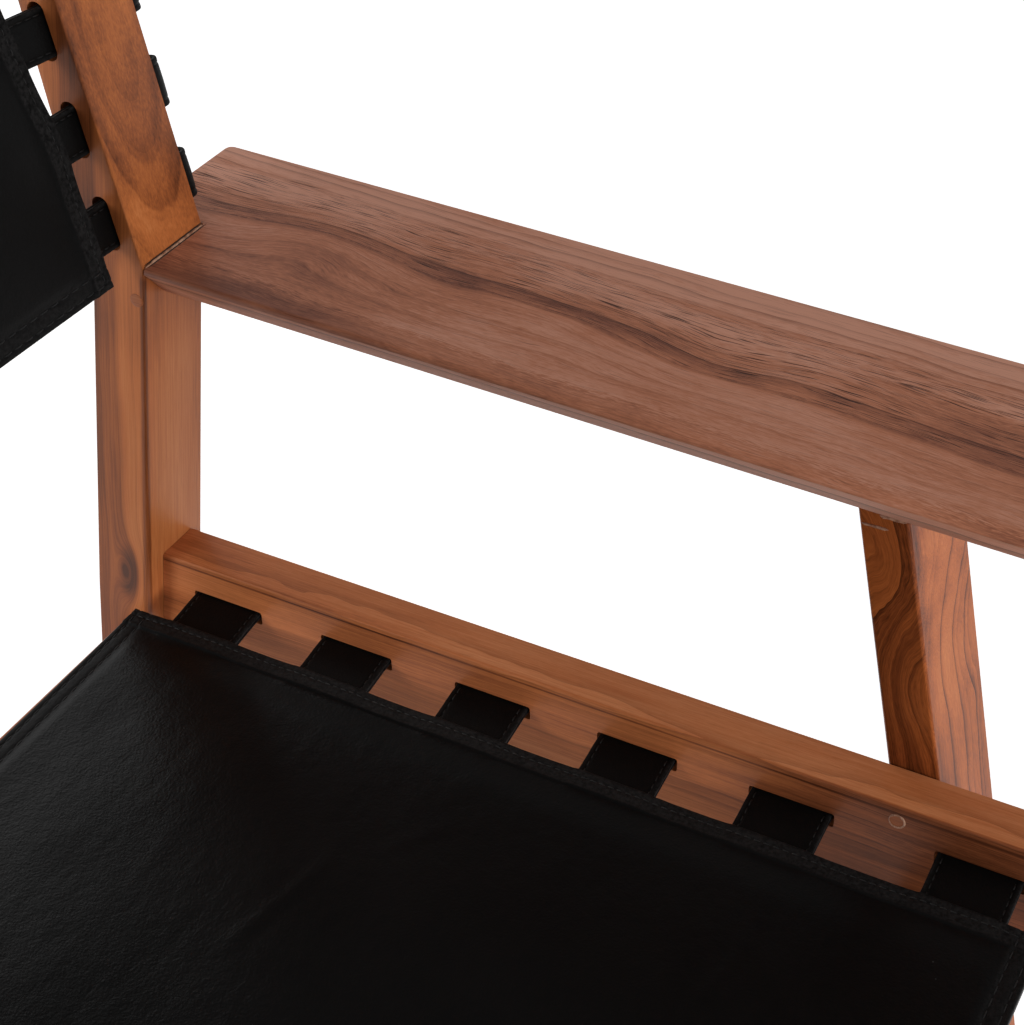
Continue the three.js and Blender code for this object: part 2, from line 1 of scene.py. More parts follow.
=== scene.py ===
# %% [markdown]
# A lounge chair with a teak frame and two slings of black leather.
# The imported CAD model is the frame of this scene: it gives every wooden piece its true shape and place.
# This lesson adds what CAD leaves plain: rounded edges, wood figure, sewn leather, thread and light.

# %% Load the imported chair
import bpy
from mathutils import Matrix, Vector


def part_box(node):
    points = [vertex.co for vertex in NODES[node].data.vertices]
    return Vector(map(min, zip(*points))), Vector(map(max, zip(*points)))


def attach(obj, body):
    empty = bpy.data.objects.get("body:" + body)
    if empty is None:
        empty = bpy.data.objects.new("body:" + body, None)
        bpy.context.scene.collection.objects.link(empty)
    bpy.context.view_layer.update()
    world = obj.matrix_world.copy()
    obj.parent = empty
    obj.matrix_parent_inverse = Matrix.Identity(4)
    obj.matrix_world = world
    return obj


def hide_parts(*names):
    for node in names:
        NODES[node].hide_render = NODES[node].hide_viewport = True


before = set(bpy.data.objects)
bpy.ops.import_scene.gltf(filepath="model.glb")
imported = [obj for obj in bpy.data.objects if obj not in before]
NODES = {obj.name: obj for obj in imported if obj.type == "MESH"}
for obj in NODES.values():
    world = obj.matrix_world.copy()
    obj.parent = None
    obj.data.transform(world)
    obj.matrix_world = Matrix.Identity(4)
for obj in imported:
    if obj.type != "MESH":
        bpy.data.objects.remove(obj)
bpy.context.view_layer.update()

# %% Modules, units and the places that everything hangs from
import math

import bmesh
import bpy
from mathutils import Matrix, Vector, noise

MM = 0.001
SIDES = {"left": 1, "right": -1}
RIGHTWARD, REARWARD, UPWARD = Vector((1, 0, 0)), Vector((0, 1, 0)), Vector((0, 0, 1))

LEG_RAKE = math.radians(7.2)
BACK_RECLINE = math.radians(13.1)
RAIL_SLOPE = math.radians(1.7)
FRONT_LEG_RAKE = math.radians(13.0)
RAIL_DROP = 203 * MM  # armrest top to rail top at the rear post

post_low, post_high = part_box("rear_post_left")
rail_low, rail_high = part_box("seat_rail_left")
_, arm_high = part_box("armrest_left")
bend_place = Vector((0, post_low.y, arm_high.z))
rail_place = bend_place + Vector((0, RAIL_DROP * math.tan(LEG_RAKE), -RAIL_DROP))
SEAT = Matrix.Translation(rail_place) @ Matrix.Rotation(-RAIL_SLOPE, 4, "X")
BACK = Matrix.Translation(bend_place) @ Matrix.Rotation(-BACK_RECLINE, 4, "X")
print("bend", tuple(round(v, 4) for v in bend_place), "rail", tuple(round(v, 4) for v in rail_place))

# %% [markdown]
# The camera stands in front of the sitter's right arm and looks down on the left one.
# Its place and lens were worked out from the straight edges in the photograph, so they are written as plain
# sizes. A camera could also be aimed with a tracking constraint, but two angles are easier to read and check.

# %% Camera
CAMERA_FROM_BEND = Vector((-417.7, -579.6, 529.8)) * MM
CAMERA_TURN = math.radians(28.60)  # from +X towards +Y
CAMERA_DIP = math.radians(38.12)  # below the horizon
CAMERA_LENS = 71.23
SENSOR_WIDTH = 36.0

camera_data = bpy.data.cameras.new("camera")
camera_data.sensor_fit = "HORIZONTAL"
camera_data.sensor_width = SENSOR_WIDTH
camera_data.lens = CAMERA_LENS
camera = bpy.data.objects.new("camera", camera_data)
bpy.context.scene.collection.objects.link(camera)
level = math.cos(CAMERA_DIP)
aim = Vector((level * math.cos(CAMERA_TURN), level * math.sin(CAMERA_TURN), -math.sin(CAMERA_DIP)))
camera.location = bend_place + CAMERA_FROM_BEND
camera.rotation_euler = aim.to_track_quat("-Z", "Y").to_euler()
bpy.context.scene.camera = camera
print("camera looks along", tuple(round(v, 3) for v in aim))

# %% [markdown]
# Shader arithmetic reads best as arithmetic. A Wire is one output socket, and adding or multiplying wires
# adds Math nodes behind the scenes. Finish holds one material and its node tree, and its node method makes
# any other node: the type first, then the settings, then what goes into the sockets.

# %% Shader tools
def math_method(operation, flip=False):
    """A method that puts two values into a Math node, swapped for a reflected operator."""
    def work(wire, other):
        return wire.math(operation, other, flip=flip)
    return work


class Wire:
    """One output socket that Python arithmetic works on."""

    def __init__(self, finish, socket):
        self.finish = finish
        self.socket = socket

    def math(self, operation, *others, flip=False):
        values = [*others, self] if flip else [self, *others]
        return self.finish.node("ShaderNodeMath", {"operation": operation}, dict(enumerate(values)))

    __add__, __radd__ = math_method("ADD"), math_method("ADD", flip=True)
    __sub__, __rsub__ = math_method("SUBTRACT"), math_method("SUBTRACT", flip=True)
    __mul__, __rmul__ = math_method("MULTIPLY"), math_method("MULTIPLY", flip=True)
    __truediv__ = math_method("DIVIDE")
    __pow__ = math_method("POWER")


class Finish:
    """A material, its node tree, and short names for the nodes that this chair needs."""

    def __init__(self, name):
        self.material = bpy.data.materials.new(name)
        self.material.use_nodes = True
        self.tree = self.material.node_tree
        self.tree.nodes.clear()

    def node(self, kind, settings=None, inputs=None, out=0):
        made = self.tree.nodes.new(kind)
        for key, value in (settings or {}).items():
            if key == "stops":
                self.set_stops(made.color_ramp, value)
            else:
                setattr(made, key, value)
        for key, value in (inputs or {}).items():
            if isinstance(value, Wire):
                self.tree.links.new(value.socket, made.inputs[key])
            else:
                made.inputs[key].default_value = value
        return Wire(self, made.outputs[out])

    @staticmethod
    def set_stops(ramp, stops):
        while len(ramp.elements) < len(stops):
            ramp.elements.new(1.0)
        for element, (place, colour) in zip(ramp.elements, stops):
            element.position = place
            element.color = colour

    def dot(self, vector, direction):
        settings = {"operation": "DOT_PRODUCT"}
        return self.node("ShaderNodeVectorMath", settings, {0: vector, 1: direction}, "Value")

    def combine(self, x, y, z):
        return self.node("ShaderNodeCombineXYZ", None, {0: x, 1: y, 2: z})

    def cloud(self, vector, scale=1.0, detail=2.0, roughness=0.5):
        inputs = {"Vector": vector, "Scale": scale, "Detail": detail, "Roughness": roughness}
        return self.node("ShaderNodeTexNoise", None, inputs)

    def smooth(self, value, low, high):
        inputs = {"Value": value, "From Min": low, "From Max": high}
        return self.node("ShaderNodeMapRange", {"interpolation_type": "SMOOTHSTEP"}, inputs)

    def ramp(self, value, stops):
        return self.node("ShaderNodeValToRGB", {"stops": stops}, {0: value})

    def mix(self, factor, first, second, blend="MIX"):
        settings = {"data_type": "RGBA", "blend_type": blend}
        return self.node("ShaderNodeMix", settings, {0: factor, 6: first, 7: second}, 2)

    def bump(self, height, distance, strength=1.0):
        inputs = {"Height": height, "Distance": distance, "Strength": strength}
        return self.node("ShaderNodeBump", None, inputs)

    def surface(self, **inputs):
        named = {key.replace("_", " "): value for key, value in inputs.items()}
        self.show(self.node("ShaderNodeBsdfPrincipled", None, named))
        return self.material

    def show(self, shader):
        output = self.tree.nodes.new("ShaderNodeOutputMaterial")
        self.tree.links.new(shader.socket, output.inputs["Surface"])


def paint(red, green, blue):
    """A colour written as it looks on a screen, 0 to 255, as the linear values that shaders use."""
    def linear(value):
        share = value / 255
        return share / 12.92 if share <= 0.04045 else ((share + 0.055) / 1.055) ** 2.4
    return (linear(red), linear(green), linear(blue), 1.0)


print("shader tools ready")

# %% [markdown]
# The studio is a round white sweep: a floor that curves up into a low wall, so that no view shows an edge.
# It keeps the chair's shadow, and a little glow that only the camera and reflections see lifts it to white.
# A soft panel in front, two weaker ones beside and behind, and an even grey world keep colours as written.

# %% Studio sweep
SWEEP_RADIUS = 7.0
SWEEP_CURVE = 1.2
SWEEP_HEIGHT = 2.6
SWEEP_HOLE = 0.001
SWEEP_SIDES = 72
FLOOR_GLOW = 0.6
FLOOR_WHITE = (0.9, 0.9, 0.9, 1.0)
SEEN_RAYS = ("Is Camera Ray", "Is Glossy Ray", "Is Transmission Ray")


def circle(middle, first, second, radius, steps):
    """Points round a middle, in the plane of two directions."""
    turns = [2 * math.pi * step / steps for step in range(steps)]
    return [middle + (first * math.cos(turn) + second * math.sin(turn)) * radius for turn in turns]


def join(shell, rings):
    """Faces from each ring of corners to the next one."""
    for ring, following in zip(rings, rings[1:]):
        for step in range(len(ring)):
            onward = (step + 1) % len(ring)
            shell.faces.new((ring[step], ring[onward], following[onward], following[step]))


def tube(shell, circles, capped=True):
    """A skin over rings of points, with a face on each end."""
    rings = [[shell.verts.new(point) for point in points] for points in circles]
    join(shell, rings)
    if capped:
        shell.faces.new(reversed(rings[0]))
        shell.faces.new(rings[-1])
    return rings


def make_object(name, shell, material):
    """Turns a finished shell into a smooth object in the scene."""
    mesh = bpy.data.meshes.new(name)
    shell.to_mesh(mesh)
    shell.free()
    mesh.shade_smooth()
    mesh.materials.append(material)
    made = bpy.data.objects.new(name, mesh)
    bpy.context.scene.collection.objects.link(made)
    return made


def sweep_circles():
    """The rings of the sweep, from the top of the wall to the middle of the floor."""
    turns = [math.radians(angle) for angle in range(90, 0, -10)]
    curve = [(math.sin(turn), 1 - math.cos(turn)) for turn in turns]
    wall = [(SWEEP_RADIUS + SWEEP_CURVE * out, SWEEP_CURVE * rise) for out, rise in curve]
    flat = [(SWEEP_RADIUS, 0.0), (SWEEP_RADIUS / 2, 0.0), (SWEEP_HOLE, 0.0)]
    profile = [(SWEEP_RADIUS + SWEEP_CURVE, SWEEP_HEIGHT), *wall, *flat]
    return [circle(UPWARD * height, RIGHTWARD, REARWARD, radius, SWEEP_SIDES) for radius, height in profile]


floor_finish = Finish("studio_white")
seen = sum(floor_finish.node("ShaderNodeLightPath", out=kind) for kind in SEEN_RAYS)
glow = floor_finish.node("ShaderNodeEmission", None, {"Strength": seen * FLOOR_GLOW})
white = floor_finish.node("ShaderNodeBsdfDiffuse", None, {"Color": FLOOR_WHITE})
floor_finish.show(floor_finish.node("ShaderNodeAddShader", None, {0: white, 1: glow}))
shell = bmesh.new()
tube(shell, sweep_circles(), capped=False)
sweep = make_object("studio_sweep", shell, floor_finish.material)
print("sweep", len(sweep.data.polygons), "faces")

# %% Lamps and world
WORLD_LEVEL = 0.3
WORLD_WHITE = (1.0, 1.0, 1.0, 1.0)
CHAIR_MIDDLE = Vector((0.1, 0.05, 0.42))
PANELS = {
    "front_panel": {"place": (-0.2, -3.4, 1.3), "size": (2.2, 1.4), "watts": 74.0},
    "side_panel": {"place": (-1.4, 1.2, 1.0), "size": (0.9, 0.8), "watts": 15.0},
    "rear_panel": {"place": (1.3, 2.2, 1.7), "size": (1.6, 1.0), "watts": 11.0},
}

world = bpy.data.worlds.new("studio_world")
world.use_nodes = True
sky = world.node_tree.nodes["Background"]
sky.inputs["Color"].default_value = WORLD_WHITE
sky.inputs["Strength"].default_value = WORLD_LEVEL
bpy.context.scene.world = world
bpy.context.scene.view_settings.view_transform = "Standard"

for panel_name, panel in PANELS.items():
    lamp = bpy.data.lights.new(panel_name, "AREA")
    lamp.shape = "RECTANGLE"
    lamp.size, lamp.size_y = panel["size"]
    lamp.energy = panel["watts"]
    lamp_object = bpy.data.objects.new(panel_name, lamp)
    lamp_object.visible_glossy = panel_name != "front_panel"  # else the seat mirrors it as a white patch
    lamp_object.location = panel["place"]
    lamp_object.rotation_euler = (CHAIR_MIDDLE - Vector(panel["place"])).to_track_quat("-Z", "Y").to_euler()
    bpy.context.scene.collection.objects.link(lamp_object)
print("lamps", list(PANELS))

# %% [markdown]
# Teak is a ring-porous wood: each year leaves a pale band with open pores and then a thin dark line.
# A board cuts through those rings, so the same solid pattern gives straight lines on one face and nested
# arches on another. The material therefore works in the board's own space: its length, width and depth, with
# the pith of the tree in or beside the board. Image textures would stretch and repeat; this can't.

# %% Teak
# The darkest tone serves the dark streaks, and also the painted shade that some boards list.
TEAK_TONES = [(0.0, paint(80, 40, 21)), (0.2, paint(136, 74, 42)), (0.42, paint(184, 106, 60)),
              (0.66, paint(208, 134, 86))]
TEAK_ROUGH = 0.36
RING_DARK = paint(60, 30, 17)
PORE_DARK = paint(38, 20, 14)
PORE_EDGES, PORE_BASE, PORE_GATHER = (0.60, 0.70), 0.3, 0.06
LINE_SHARP = 6.0  # how much of a year its dark line leaves pale
YEAR_DRIFT, YEAR_DRIFT_SCALE = 1.8, 0.6
MARK_DEPTH = 0.3
KNOT_CORE = (0.25, 0.9)
BEND_LINE, BEND_REACH = -6.0, 26.0  # the bends are strongest on this line of the board, and fade beside it
WOOD_RELIEF = 0.12 * MM
# Each noise: its scale along, across and into the board, how the seed shifts it, its detail and roughness
GRAINS = {
    "wander": ((0.0042, 0.012, 0.012), (0, 0, 1), 2.0, 0.5),
    "ripple": ((0.018, 0.06, 0.06), (0, 1, 0), 2.0, 0.5),
    "fuzz": ((0.2, 1.6, 1.6), (0, 1, 0), 2.0, 0.6),
    "fibre": ((0.012, 0.9, 0.9), (0, 1, 0), 3.0, 0.6),
    "patch": ((0.014, 0.03, 0.03), (0, 1, 0), 4.0, 0.6),
    "slow": ((0.003, 0.045, 0.03), (0, 0, 2), 3.0, 0.55),
    "dashes": ((0.04, 2.1, 2.1), (0, 0, 1), 1.0, 0.5),
}


def board_space(wood, board):
    """Length, width and depth in millimetres from the board's own middle, mirrored for the right side."""
    place = wood.node("ShaderNodeTexCoord", out="Object")
    sign = board["sign"]
    along = Vector(board["along"])
    across = Vector(board["across"]) * Vector((sign, 1, 1))
    ways = (along, across, along.cross(across) * sign)
    return [(wood.dot(place, way) - board["middle"].dot(way)) / MM for way in ways]


def band(wood, value, low, high, soft):
    """One between low and high, with soft edges, and nothing outside."""
    return wood.smooth(value, low - soft, low + soft) * (1 - wood.smooth(value, high - soft, high + soft))


def marked(wood, spans, marks):
    """All marks together at a place. A mark has bounds on some of the spans, and says how much it adds."""
    total = 0
    for mark in marks:
        shape = mark["much"]
        for key, span in spans.items():
            if key in mark:
                shape = band(wood, span, *mark[key]) * shape
        total = total + shape
    return total


def arch(wood, radius, edge, soft, much):
    """Late wood of one strong year: it darkens outward over soft, and ends at once at its edge."""
    return wood.smooth(radius, edge - soft, edge) * (1 - wood.smooth(radius, edge - 0.4, edge + 0.8)) * much


def nearness(spans, places, sizes):
    """One at a place, falling away over a size in each direction."""
    shares = [(span - at) / size for span, at, size in zip(spans, places, sizes)]
    return (sum(share * share for share in shares) * -1.0).math("EXPONENT")


def grain(wood, name, spans, seed):
    """One of the board's noises, stretched along the grain and shifted by the board's seed."""
    scales, shifts, detail, roughness = GRAINS[name]
    place = [span * scale for span, scale in zip(spans, scales)]
    shifted = [value + shift * seed if shift else value for value, shift in zip(place, shifts)]
    return wood.cloud(wood.combine(*shifted), 1.0, detail, roughness)


def growth_rings(wood, board, spans):
    """Each point's share of its year, that year's strength, the place across the grain and from the pith."""
    length, width, depth = spans
    seed = board["seed"]
    wander = grain(wood, "wander", spans, seed) - 0.5
    ripple = grain(wood, "ripple", spans, seed) - 0.5
    across = width - length * board["lean"] + wander * board["wander"] + ripple * board["ripple"]
    for at, size, push in board["bends"]:
        across = across + nearness((length, width), (at, BEND_LINE), (size, BEND_REACH)) * push
    if "knot" in board:
        across = across + nearness(spans, *board["knot"]["bounds"]) * board["knot"]["push"]
    beside = across - board["pith"][0]
    below = depth - board["pith"][1]
    radius = (beside * beside + below * below) ** 0.5
    years = radius / board["ring"]
    count = years + wood.cloud(wood.combine(years * YEAR_DRIFT_SCALE, 0.5, seed)) * YEAR_DRIFT
    year = wood.node("ShaderNodeTexWhiteNoise", {"noise_dimensions": "1D"}, {"W": count.math("FLOOR") + seed})
    return count.math("FRACT"), year, across, radius


def teak(name, board):
    wood = Finish(name)
    seed = board["seed"]
    spans = board_space(wood, board)
    length, width, depth = spans
    phase, year, across, radius = growth_rings(wood, board, spans)
    bent = (length, across, depth)
    line = phase ** LINE_SHARP * year * year
    late = phase * phase * year
    fuzz = grain(wood, "fuzz", bent, seed) - 0.5
    fibre, slow, dashes = (grain(wood, kind, bent, seed) for kind in ("fibre", "slow", "dashes"))
    patch = grain(wood, "patch", spans, seed) - 0.5
    ragged = across + fuzz * board["ragged"]
    bounds = {"across": ragged, "wide": width, "along": length, "deep": depth}
    # Beside the wood's own streaks, some boards list painted shade and painted light on one face.
    streak_and_painted_light, zone, sawn = (marked(wood, bounds, board[kind]) for kind in ("streaks_and_painted_light", "pore_zones", "sawn"))
    arches = sum(arch(wood, radius, *edge) for edge in board["arches"])
    pores = wood.smooth(dashes + zone * PORE_GATHER, *PORE_EDGES) * board["pores"] * (PORE_BASE + zone)
    tone = slow * (1 - board["fibre"]) + fibre * board["fibre"] + patch * board["patches"]
    tone = tone + fuzz * board["fuzz"] - (streak_and_painted_light + arches) * MARK_DEPTH - late * board["shade"]
    if "knot" in board:
        core = wood.smooth(nearness(spans, *board["knot"]["bounds"]), *KNOT_CORE)
        tone = tone - core * board["knot"]["much"]
    lined = wood.mix(line * board["figure"], wood.ramp(tone, TEAK_TONES), RING_DARK)
    pored = wood.mix(pores, lined, PORE_DARK)
    relief = fibre * 0.4 - pores * 0.8 - line * 0.25
    return wood.surface(
        Base_Color=wood.mix(1.0, pored, board["tint"], "MULTIPLY"),
        Roughness=TEAK_ROUGH + fibre * 0.1 + pores * 0.2 + sawn,
        Specular_IOR_Level=board["gloss"],
        Normal=wood.bump(relief, WOOD_RELIEF, 0.6),
    )


print("teak has", len(GRAINS), "noises")

# %% [markdown]
# Each board is sawn from its own place in the tree, so each has its own pith, ring width and dark streaks.
# The bent posts are sawn from a straight plank: the grain follows the leg, and runs out as arches above the
# bend. The armrests are the greyest boards, partly by their own colour and partly by a painted sheen in their
# tint, with rows of open pores, and their bevels are less polished. Some boards also list painted shade and
# painted light on one face, and each of those marks says so.

# %% The boards
def tilted(angle):
    """Upward and rearward directions, turned forward by an angle."""
    return (0.0, -math.sin(angle), math.cos(angle)), (0.0, math.cos(angle), math.sin(angle))


LEG_UP, LEG_OVER = tilted(LEG_RAKE)
UP_LEG, OVER_LEG = tilted(-FRONT_LEG_RAKE)
UP_RAIL, ALONG_RAIL = tilted(-RAIL_SLOPE)
POST_MIDDLE = 16 * MM  # behind the front face, at the bend
RAIL_LINE = (22.9, 24.1)  # a dark line along the rail's inner face, above its middle
FIGURE = {"wander": 12.0, "ripple": 4.0, "lean": 0.03, "ring": 9.0, "figure": 0.5, "shade": 0.12,
          "pores": 0.4, "fibre": 0.4, "patches": 0.15, "fuzz": 0.15, "ragged": 0.0, "gloss": 0.2, "sign": 1,
          "streaks_and_painted_light": [], "arches": [], "bends": [], "pore_zones": [], "sawn": []}


def middle_of(node):
    low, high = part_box(node)
    return (low + high) / 2


def tint(red, green, blue):
    return (red, green, blue, 1.0)


SIDE_BOARDS = {
    "rear_post": {"along": LEG_UP, "across": LEG_OVER, "pith": (22, -4), "lean": 0.0, "ring": 8.7,
                  "wander": 6.0, "figure": 0.12, "shade": 0.05, "pores": 0.25, "fuzz": 0.06,
                  "tint": tint(0.96, 0.97, 0.87),
                  "arches": [(31.1, 9, 0.5), (22.4, 8, 0.3)],
                  "streaks_and_painted_light": [{"across": (0, 90, 2.5), "along": (-600, 0, 8), "much": 0.6},
                              {"across": (-4, 90, 6), "along": (0, 600, 8), "much": 0.55},
                              # Painted reflection: this mark darkens every face round the arm joint, for the
                              # arm mirrored there.
                              {"across": (-40, 60, 5), "along": (-55, 42, 22), "much": 0.3},
                              {"wide": (-40, -13.5, 1), "deep": (23, 40, 1), "along": (-600, -4, 4),
                               "much": 0.9}],
                  "knot": {"bounds": ((-215, -4, 26), (24, 9, 14)), "push": 14.0, "much": 0.2}},
    "front_leg": {"along": UP_LEG, "across": OVER_LEG, "pith": (-45, -55), "lean": -0.12, "ring": 6.5,
                  "wander": 30.0, "ripple": 14.0, "figure": 0.9, "shade": 0.3, "gloss": 0.1,
                  "bends": [(225, 30, 16), (150, 35, -18)], "fuzz": 0.35, "ragged": 8.0,
                  # The mark on depth is painted shade: it darkens the leg's inner face.
                  "streaks_and_painted_light": [{"across": (4, 30, 4), "much": 0.4}, {"deep": (24, 90, 6), "much": 0.6},
                              {"along": (-400, 110, 30), "much": 0.3}],
                  "tint": tint(0.88, 0.77, 0.58)},
    "armrest": {"along": REARWARD, "across": RIGHTWARD, "pith": (-75, 45), "figure": 1.0, "shade": 0.2,
                "wander": 12.0, "ripple": 7.0, "ring": 8.0, "pores": 1.0, "gloss": 0.14,
                "fibre": 0.25, "patches": 0.45, "fuzz": 0.4, "ragged": 14.0,
                "bends": [(170, 40, -18), (42, 45, -5), (-48, 30, 7), (-192, 60, 7)],
                "pore_zones": [{"across": (-9, 40, 5), "much": 0.6}],
                "sawn": [{"deep": (-7.5, 40, 1.5), "much": 0.2}],
                "streaks_and_painted_light": [{"across": (-9, 28, 6), "much": 0.4}, {"across": (-10, -8, 1), "much": 0.35},
                            {"across": (-70, -9, 6), "along": (100, 300, 70), "much": 0.6},
                            {"across": (-90, -54, 3), "much": 0.5}, {"wide": (16, 90, 10), "much": -0.5},
                            # The last mark is painted light: it lightens the lower faces and the under-bevel,
                            # which look down to the white floor.
                            {"deep": (-7.5, 40, 1), "much": -1.0}],
                # The tint is partly the wood's own grey and partly a painted sheen for the pale veil on the
                # top.
                "tint": tint(1.06, 1.35, 2.35)},
    "seat_rail": {"along": ALONG_RAIL, "across": UP_RAIL, "pith": (-90, 20), "lean": 0.0, "ring": 5.0,
                  "wander": 8.0, "figure": 0.3, "shade": 0.07, "gloss": 0.15,
                  # Painted shadow: the first mark darkens the front end of the inner face.
                  "streaks_and_painted_light": [{"deep": (-40, -12.5, 1), "along": (-600, -120, 60), "much": 0.85},
                              # Painted shade: this mark darkens the whole inner face against the top.
                              {"deep": (-40, -12.5, 1), "much": 0.35},
                              {"deep": (-40, -13, 0.5), "wide": (*RAIL_LINE, 0.4), "much": 0.8}],
                  # The tint is partly the wood's own colour and partly a painted sheen for the pinkish veil
                  # on the top.
                  "tint": tint(1.03, 1.1, 1.18)},
}
CROSS_BOARDS = ("rear_stretcher", "front_stretcher", "back_top_rail")
wood_finishes = {}
for board_name, board in SIDE_BOARDS.items():
    for side, sign in SIDES.items():
        node = f"{board_name}_{side}"
        middle = middle_of(node)
        if board_name == "rear_post":
            middle = Vector((middle.x, bend_place.y + POST_MIDDLE, bend_place.z))
        choice = {**FIGURE, **board, "middle": middle, "sign": sign, "seed": 3.0 * len(wood_finishes) + 1.0}
        wood_finishes[node] = teak(f"teak_{node}", choice)
for node in CROSS_BOARDS:
    choice = {**FIGURE, "along": RIGHTWARD, "across": UPWARD, "middle": middle_of(node), "pith": (48, 20),
              "tint": tint(0.96, 0.96, 0.96), "seed": 3.0 * len(wood_finishes) + 1.0}
    wood_finishes[node] = teak(f"teak_{node}", choice)
print("wooden boards", len(wood_finishes))

# %% [markdown]
# Sanded edges catch the light, and a sharp CAD edge never does. The CAD boards already carry a narrow chamfer
# on every arris, so it only has to look round: weld the triangles, part them at sharp cuts such as the slots,
# and weight the normals by area. Wide faces then stay flat, and the light turns on the chamfer between them.
# A bevel modifier would also round the arris, but it folds over itself at the short edges of the slots.

# %% Rounded edges and finishes on the wooden pieces
WELD_REACH = 0.01 * MM
SHARP_CUT = math.radians(60)


def round_edges(piece):
    weld = piece.modifiers.new("weld", "WELD")
    weld.merge_threshold = WELD_REACH
    parted = piece.modifiers.new("sharp_cuts", "EDGE_SPLIT")
    parted.split_angle = SHARP_CUT
    piece.data.shade_smooth()
    weighted = piece.modifiers.new("weighted", "WEIGHTED_NORMAL")
    weighted.mode = "FACE_AREA"
    weighted.weight = 100


def dress(node, material):
    slot = NODES[node].material_slots[0]
    slot.link = "OBJECT"
    slot.material = material


for node, material in wood_finishes.items():
    round_edges(NODES[node])
    dress(node, material)
print("rounded", len(wood_finishes), "boards")

# %% [markdown]
# The dowels that hold the tabs and the plugs over the screws are small turned pieces. They show mostly end
# grain, so they are darker than the boards. One finish serves them all, because only their ends are seen.

# %% Dowels and plugs
dowel_board = {**FIGURE, "along": REARWARD, "across": RIGHTWARD, "middle": Vector(), "pith": (9, 5),
               "lean": 0.0, "ring": 1.8, "tint": tint(0.55, 0.52, 0.52), "seed": 71.0}
dowel_finish = teak("teak_dowel", dowel_board)
dowels = sorted(name for name in NODES if "_dowel_" in name)
plugs = sorted(name for name in NODES if name.startswith("rail_plug"))
for node in dowels + plugs:
    round_edges(NODES[node])
    dress(node, dowel_finish)
print("turned pieces", len(dowels), "dowels and", len(plugs), "plugs")

# %% [markdown]
# The leather is a thick black hide with a soft semi-gloss finish. Its grain is a field of tiny pebbles,
# smaller than a millimetre and a half, with finer creases between them and slow changes of gloss where it was
# handled. A Voronoi texture gives the pebbles, and noise breaks up their size. The pieces carry an edge_wear
# value at each point, one on the cut edges and hems, and the leather is rubbed grey there. A few grains of
# dust lie on it.

# %% Leather and thread
LEATHER_BLACK = paint(7, 7, 7)
LEATHER_WORN = paint(11, 10, 10)
LEATHER_RUBBED = paint(34, 33, 33)
DUST_GREY = paint(96, 94, 92)
THREAD_BLACK = paint(14, 13, 13)
LEATHER_SHEEN = 0.095
WARP_REACH = 4 * MM
HIDE_RELIEF, FINE_RELIEF = 0.22 * MM, 0.2 * MM
DUST_SCALE, DUST_GRAIN = 70.0, (0.012, 0.03)
HIDE_NOISES = {  # scale, detail and roughness
    "warp": (90.0, 2.0, 0.5), "fine": (2200.0, 2.0, 0.6), "crease": (26.0, 4.0, 0.62),
    "handled": (9.0, 3.0, 0.55), "wrinkle": (150.0, 4.0, 0.65), "rub": (520.0, 3.0, 0.7),
    "dusty": (11.0, 1.0, 0.5),
}


def leather(name, rough, pebble):
    hide = Finish(name)
    place = hide.node("ShaderNodeTexCoord", out="Object")
    noises = [hide.cloud(place, *numbers) for numbers in HIDE_NOISES.values()]
    warp, fine, crease, handled, wrinkle, rub, dusty = noises
    shifted = hide.node("ShaderNodeVectorMath", {"operation": "MULTIPLY_ADD"},
                        {0: hide.combine(warp, warp, warp), 1: (WARP_REACH,) * 3, 2: place})
    cells = hide.node("ShaderNodeTexVoronoi", {"feature": "SMOOTH_F1"},
                      {"Vector": shifted, "Scale": pebble, "Smoothness": 0.6}, "Distance")
    relief = (1 - cells) * 0.7 + fine * 0.3 + crease * 2.0 + wrinkle * 2.2
    worn = hide.node("ShaderNodeAttribute", {"attribute_name": "edge_wear"}, out="Fac")
    rubbed = worn * hide.smooth(rub, 0.3, 0.7)
    dust_cell = hide.node("ShaderNodeTexVoronoi", None, {"Vector": place, "Scale": DUST_SCALE}, "Distance")
    dust = (1 - hide.smooth(dust_cell, *DUST_GRAIN)) * hide.smooth(dusty, 0.55, 0.75)
    plain = hide.mix(hide.smooth(handled, 0.35, 0.75), LEATHER_BLACK, LEATHER_WORN)
    edged = hide.mix(rubbed, plain, LEATHER_RUBBED)
    return hide.surface(
        Base_Color=hide.mix(dust, edged, DUST_GREY),
        Roughness=rough - 0.07 + handled * 0.12 + cells * 0.06 + worn * 0.2,
        Specular_IOR_Level=LEATHER_SHEEN,
        Normal=hide.bump(relief, HIDE_RELIEF, 0.55),
    )


sling_hides = {"seat": leather("seat_hide", 0.32, 700.0), "back": leather("back_hide", 0.55, 700.0)}
tab_hide = leather("tab_hide", 0.46, 760.0)


def thread():
    cotton = Finish("waxed_thread")
    twist = cotton.cloud(cotton.node("ShaderNodeTexCoord", out="Object"), 1800.0, 2.0)
    return cotton.surface(
        Base_Color=cotton.mix(twist, THREAD_BLACK, LEATHER_WORN),
        Roughness=0.5 + twist * 0.2,
        Normal=cotton.bump(twist, FINE_RELIEF, 0.5),
    )


thread_finish = thread()
print("leather finishes", [finish.name for finish in (*sling_hides.values(), tab_hide, thread_finish)])

# %% [markdown]
# Each tab is one strip of leather, folded in two round its dowel. Both halves run through the slot together
# and are sewn to each other and to the sling's hem. The strip is made by carrying a cross-section with soft
# edges and two shallow stitch furrows along the folded path, which is how it would be bent by hand.

